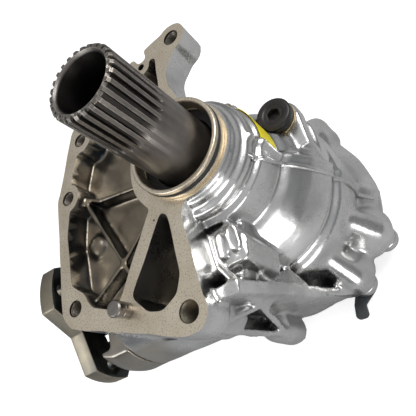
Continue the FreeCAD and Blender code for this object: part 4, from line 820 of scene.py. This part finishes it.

# %% [markdown]
# ## The splined shaft
# The input shaft is one hollow steel tube. Its outside is a single formula: a
# radius that depends on the angle and on the height. Round the shaft the spline
# is a wave with steep flanks, and below the teeth the cutter leaves a sloping
# run-out, so the depth of the wave fades there. A mask paints shade, near black,
# into the roots and the bore.

# %% Splined shaft
def spline_surface(per_tooth=24):
    """Radius = SHAFT_R - depth(z) * groove(angle).

    groove is 1 on the root, 0 on the tooth, with smooth flanks; depth is full
    above SPLINE_END and falls to nothing over the run-out."""
    cols = SPLINES * per_tooth
    turn = np.arange(cols) / cols * 2 * np.pi
    phase = np.abs(np.cos(turn * SPLINES / 2))
    groove = 1 / (1 + np.exp(-(phase - 0.70) * 60.0))
    low, run = SPLINE_END - SPLINE_RUN, SPLINE_RUN
    height = np.concatenate([[SHAFT_LOW, SHAFT_LOW + 1.0], np.linspace(-150, low, 8),
                             np.linspace(low, SPLINE_END, 14)[1:],
                             np.linspace(SPLINE_END, SHAFT_TOP - 2.4, 12)[1:],
                             np.linspace(SHAFT_TOP - 2.0, SHAFT_TOP, 5)])
    share = np.clip((height - low) / run, 0, 1)
    depth = SPLINE_DEPTH * np.sin(share * np.pi / 2) ** 0.8
    chamfer = np.clip(height - (SHAFT_TOP - 2.0), 0, None) * 0.75
    foot = np.clip(SHAFT_LOW + 1.0 - height, 0, None)
    radius = SHAFT_R - depth[:, None] * groove[None] - chamfer[:, None] - foot[:, None]
    return height, radius, turn


def grid_round(height, radius, turn):
    """Point = (radius cos, radius sin, height)."""
    return np.stack([radius * np.cos(turn), radius * np.sin(turn),
                     np.broadcast_to(height[:, None], radius.shape)], -1)


height, radius, turn = spline_surface()
bore_h = np.array([SHAFT_TOP, SHAFT_TOP - 1.0, SHAFT_TOP - 2.2, 60.0, 0.0, -120.0, SHAFT_LOW])
bore_r = np.array([SHAFT_BORE_R + 1.6, SHAFT_BORE_R + 1.0, SHAFT_BORE_R, SHAFT_BORE_R,
                   SHAFT_BORE_R, SHAFT_BORE_R, SHAFT_BORE_R])
height = np.concatenate([height, bore_h])
radius = np.vstack([radius, np.repeat(bore_r[:, None], len(turn), 1)])
shaft = put("splined_shaft", grid_round(height, radius, turn),
            quads(len(height), len(turn), wrap_rows=True), 40)


def mark_recess_shade(mesh):
    """Mask of painted shade: 1 in the bore, up to 0.8 in the roots of the splines, 0 on the
    outside.
    """
    place = np.empty(len(mesh.vertices) * 3)
    mesh.vertices.foreach_get("co", place)
    place = place.reshape(-1, 3) / MM
    far = np.hypot(place[:, 0], place[:, 1])
    root = np.clip((SHAFT_R - 0.5 - far) / 1.4, 0, 1) * (place[:, 2] < SHAFT_TOP - 2.2) * 0.8
    bore = (far < SHAFT_BORE_R + 0.5) & (place[:, 2] < SHAFT_TOP - 1.5)
    layer = mesh.attributes.new("recess_shade", "FLOAT", "POINT")
    layer.data.foreach_set("value", np.where(bore, 1.0, root))


mark_recess_shade(shaft.data)
show(shaft, "input_train", "spline_steel", SPLINE_STEEL)
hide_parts("input_shaft")

# %% [markdown]
# ## The collar
# The collar that centres the case is turned: two lands with an O-ring groove
# between them, and a bored inside with a chamfered mouth.

# %% Collar and O-ring
collar = turned("turned_collar", [
    (-12.8, COLLAR_BORE_R - 0.1), (COLLAR_H - 1.0, COLLAR_BORE_R - 0.1),
    (COLLAR_H, COLLAR_BORE_R + 0.8), (COLLAR_H, COLLAR_R - 0.7), (COLLAR_H - 0.7, COLLAR_R),
    (8.0, COLLAR_R), (8.0, COLLAR_R - 2.7), (4.0, COLLAR_R - 2.7), (4.0, COLLAR_R),
    (0.02, COLLAR_R), (0.02, COLLAR_R - 1.5), (-12.8, COLLAR_R - 1.5)], 0.35, 160)
show(collar, "case", "cast_aluminium", MILLED)


def torus(name, centre_r, tube_r, z, squash=1.0, cols=144, ring=20):
    """Point = axis circle of centre_r + tube_r (cos, squash sin)."""
    a = np.linspace(0, 2 * np.pi, ring, endpoint=False)
    profile = np.stack([z + tube_r * squash * np.sin(a), centre_r + tube_r * np.cos(a)], -1)
    grid = spin(profile, cols)
    return put(name, grid, quads(ring, cols, wrap_rows=True), 80)


o_ring = torus("o_ring", COLLAR_R - 1.35, 1.65, 6.0, 1.1)
show(o_ring, "case", "seal_rubber", RUBBER)
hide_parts("collar_o_ring")

# %% [markdown]
# ## Plugs, pin and label
# These are small turned pieces. The filler plug has a six-sided socket, which is
# a radius that depends on the angle: r = apothem / cos(angle within the side).

# %% Filler plug
def hexagon_radius(turn, apothem, blunt=0.0):
    """Distance from the centre to a hexagon's side, blunted at the corners."""
    within = np.mod(turn + np.pi / 6, np.pi / 3) - np.pi / 6
    return np.minimum(apothem / np.cos(within), apothem * (1.1547 - blunt))


def plug_grid():
    """Head with a knurled rim, a dished top and a hexagonal socket."""
    turn = np.linspace(0, 2 * np.pi, 192, endpoint=False)
    x, y, z, r = PLUG
    round_rows = [(-9.0, 0.01), (-9.0, r - 1.0), (-8.4, r), (-5.6, r), (-5.2, r - 0.8),
                  (-4.4, r - 0.8), (-4.0, r), (-1.4, r), (-0.4, r - 0.7), (0.0, r - 1.6),
                  (0.0, 9.6), (-0.3, 8.6), (-0.9, 8.0)]
    height = [h for h, q in round_rows] + [-1.0, -1.2, -6.5, -6.5]
    rows = [np.full(192, q) for h, q in round_rows]
    rows[3] = rows[3] - 0.16 * (1 + np.cos(turn * 48))
    rows[2] = rows[2] - 0.16 * (1 + np.cos(turn * 48))
    rows += [hexagon_radius(turn, 5.3, 0.02) + 0.3, hexagon_radius(turn, 5.0, 0.02),
             hexagon_radius(turn, 5.0, 0.02), np.full(192, 0.01)]
    grid = grid_round(np.array(height), np.array(rows), turn)
    return grid + np.array([x, y, z])


grid = plug_grid()
filler = put("hex_socket_plug", grid, quads(len(grid), 192), 34)
show(filler, "case", "black_plug", PLUG_BLACK)
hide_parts("filler_plug")
washer = turned("filler_seal_ring", [(-2.0, 7.2), (0.0, 7.2), (0.0, 15.2), (-2.0, 15.2)], 0.3, 96,
                (PLUG[0], PLUG[1], PLUG[2] - 9.0))
show(washer, "case", "brass_washer", BRASS)
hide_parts("filler_washer")
pin = turned("locating_pin", [(-15.0, 0.01), (-15.0, 5.98), (6.6, 5.98), (6.8, 5.75), (7.3, 5.75),
                              (7.5, 5.98), (12.2, 5.98), (13.5, 4.9), (13.5, 0.01)], 0.25, 72,
             (DOWEL[0], DOWEL[1], 0.0))
show(pin, "case", "pin_steel", PIN_STEEL)
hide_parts("dowel_pin")

# %% [markdown]
# ## Parts that keep their CAD shape
# Flange, nut, bolts, gears and bearings are machined, so their solids are right
# as they are. The flange, its nut and the loom tab get copies with their edges
# broken by a small bevel, because a real machined edge always catches the light.

# %% Edges broken by a bevel
def eased(name, node, body, slot, width, *materials):
    """A copy of a CAD node with coplanar triangles joined and its edges bevelled."""
    work = bmesh.new()
    work.from_mesh(nodes[node].data)
    bmesh.ops.remove_doubles(work, verts=work.verts, dist=1e-6)
    bmesh.ops.dissolve_limit(work, angle_limit=math.radians(1.0), verts=work.verts,
                             edges=work.edges)
    mesh = bpy.data.meshes.new(name)
    work.to_mesh(mesh)
    work.free()
    piece = bpy.data.objects.new(name, mesh)
    bpy.context.scene.collection.objects.link(piece)
    ease = piece.modifiers.new("ease", "BEVEL")
    ease.width, ease.segments, ease.limit_method = width * MM, 2, "ANGLE"
    ease.angle_limit, ease.harden_normals = math.radians(32), False
    settle(piece)
    piece.data.shade_smooth()
    piece.data.set_sharp_from_angle(angle=math.radians(32))
    piece.data.materials.clear()
    show(piece, body, slot, *materials)
    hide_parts(node)
    return piece


def radial_faces(mesh, centre, inner):
    """Marks with material 1 the faces that look away from the output axis."""
    count = len(mesh.polygons)
    middle, normal = np.empty(count * 3), np.empty(count * 3)
    mesh.polygons.foreach_get("center", middle)
    mesh.polygons.foreach_get("normal", normal)
    spoke = middle.reshape(-1, 3)[:, 1:] / MM - np.asarray(centre)
    far = np.linalg.norm(spoke, axis=1)
    out = np.sum(spoke * normal.reshape(-1, 3)[:, 1:], axis=1) / np.maximum(far, 1e-6)
    choice = ((out > 0.5) & (far > inner)).astype(np.int32)
    mesh.polygons.foreach_set("material_index", choice)
    return int(choice.sum())


flange = eased("lobed_flange", "companion_flange", "output_train", "flange_steel", 0.8,
               BLACK_STEEL, RIM_STEEL)
print("rim faces:", radial_faces(flange.data, (OUT_Y, OUT_Z), 42.0))
eased("flange_nut", "output_nut", "output_train", "pin_steel", 0.6, PIN_STEEL)
eased("loom_tab", "loom_bracket", "case", "black_bracket", 0.5, BRACKET_BLACK)

# %% [markdown]
# The other nodes keep their CAD mesh and only get a finish. Among them is the
# label, a thin blank film that follows the waist of the casting.

# %% Remaining nodes
def dress(material, *names):
    """Gives CAD nodes one material in place of the plain one."""
    for name in names:
        nodes[name].data.materials.clear()
        nodes[name].data.materials.append(material)


dress(LABEL_YELLOW, "blank_label")
dress(BRASS, "breather", "drain_washer")
dress(ZINC, "housing_bolts", "cover_bolts", "ring_bolts", "drain_plug")
dress(RUBBER, "input_seal", "cover_seal", "output_seal")
dress(TURNED_STEEL, "ring_carrier", "output_shaft", "front_spacer", "rear_spacer",
      "cross_spacer", "cross_tail_spacer")
dress(GEAR_STEEL, "ring_gear", "cross_pinion", "cross_spur_gear", "output_spur_gear")
dress(PIN_STEEL, "dust_deflector")
dress(BEARING, *[n for n in nodes if n.endswith("_race") or n.endswith("_rollers")])
print("nodes dressed")

# %% [markdown]
# ## Floor, light and camera
# The object stands on its end cover on a pale floor. The floor adds its own
# white for the camera and for reflections, and keeps the object's soft shadow.

# %% Floor and world
def make_floor():
    """A large plane that looks white and still receives the shadow."""
    size = 6000.0
    points = [(-size, -size, COVER_LOW), (size, -size, COVER_LOW), (size, size, COVER_LOW),
              (-size, size, COVER_LOW)]
    floor = put("floor", points, [[0, 1, 2, 3]])
    material = bpy.data.materials.new("floor_white")
    material.use_nodes = True
    tree = material.node_tree
    tree.nodes.clear()
    seen = add(tree, "LightPath", out=0)
    mirrored = add(tree, "LightPath", out=4)
    either = sums(tree, "MAXIMUM", seen, mirrored)
    matt = add(tree, "BsdfDiffuse", Color=(0.62, 0.62, 0.62, 1))
    own = add(tree, "Emission", Color=(1, 1, 1, 1), Strength=0.68)
    both = add(tree, "AddShader", I0=matt, I1=own)
    plain = add(tree, "BsdfDiffuse", Color=(0.4, 0.4, 0.4, 1))
    last = tree.nodes.new("ShaderNodeOutputMaterial")
    mixed = add(tree, "MixShader", I0=either, I1=plain, I2=both)
    tree.links.new(mixed, last.inputs["Surface"])
    floor.data.materials.append(material)


make_floor()
world = bpy.data.worlds.new("studio")
bpy.context.scene.world = world
world.use_nodes = True
tree = world.node_tree
seen = sums(tree, "MAXIMUM", add(tree, "LightPath", out=0), 0.0)
sky = tree.nodes["Background"]
sky.inputs["Strength"].default_value = 0.55
height_share = add(tree, "SeparateXYZ", out=2, Vector=add(tree, "TexCoord", out=0))
glow = blend(tree, span(tree, height_share, 0.0, 0.75), (0.20, 0.21, 0.22, 1),
             (0.92, 0.93, 0.95, 1))
tree.links.new(blend(tree, seen, glow, (1.8, 1.8, 1.8, 1)), sky.inputs["Color"])
print("floor at", COVER_LOW)

# %% [markdown]
# Three soft panels light it: a large one high on the right, a cooler one from
# the left and a small low one that fills the side turned to the viewer.

# %% Lights
def panel(name, place, aim, size, power, colour=(1.0, 1.0, 1.0)):
    """A square area light at place (mm) that looks at aim (mm)."""
    lamp = bpy.data.lights.new(name, "AREA")
    lamp.shape, lamp.size, lamp.energy, lamp.color = "SQUARE", size * MM, power, colour
    holder = bpy.data.objects.new(name, lamp)
    at, to = np.array(place) * MM, np.array(aim) * MM
    holder.location = at
    back = at - to
    direction = back / np.linalg.norm(back)
    side = np.cross([0.0, 0.0, 1.0], direction)
    side /= np.linalg.norm(side)
    up = np.cross(direction, side)
    turn = Matrix(np.stack([side, up, direction], 1).tolist()).to_4x4()
    holder.matrix_world = Matrix.Translation(at.tolist()) @ turn
    bpy.context.scene.collection.objects.link(holder)


panel("key", (520, 260, 620), (0, 0, -60), 520, 6.0)
panel("left", (-620, -420, 420), (-20, -40, -60), 500, 2.2, (0.93, 0.97, 1.0))
panel("low", (240, -720, 60), (0, -20, -80), 420, 2.0)
print("lamps:", len(bpy.data.lights))

# %% [markdown]
# The camera looks down on the mounting face from the front right, close enough
# for the near end of the shaft to look clearly larger. It is given by a place
# and by where its own right and back point; up is at right angles to both.

# %% Camera
def aim_camera(place, right, up, back, lens):
    """A camera at place (mm) with the given axes and a lens in millimetres."""
    data = bpy.data.cameras.new("camera")
    data.sensor_width, data.lens = 36.0, lens
    data.clip_start, data.clip_end = 0.01, 40.0
    holder = bpy.data.objects.new("camera", data)
    turn = Matrix(np.stack([right, up, back], 1).tolist()).to_4x4()
    holder.matrix_world = Matrix.Translation((np.array(place) * MM).tolist()) @ turn
    bpy.context.scene.collection.objects.link(holder)
    bpy.context.scene.camera = holder


right = np.array([0.807, -0.229, -0.545])
right /= np.linalg.norm(right)
back = np.array([0.384, -0.498, 0.778])
back -= right * np.dot(back, right)
back /= np.linalg.norm(back)
aim_camera((130.0, -210.0, 244.9), right, np.cross(back, right), back, 42.2)
bpy.context.scene.view_settings.view_transform = "Standard"
print("camera set")

# %% [markdown]

# %% End
print("end of the script")
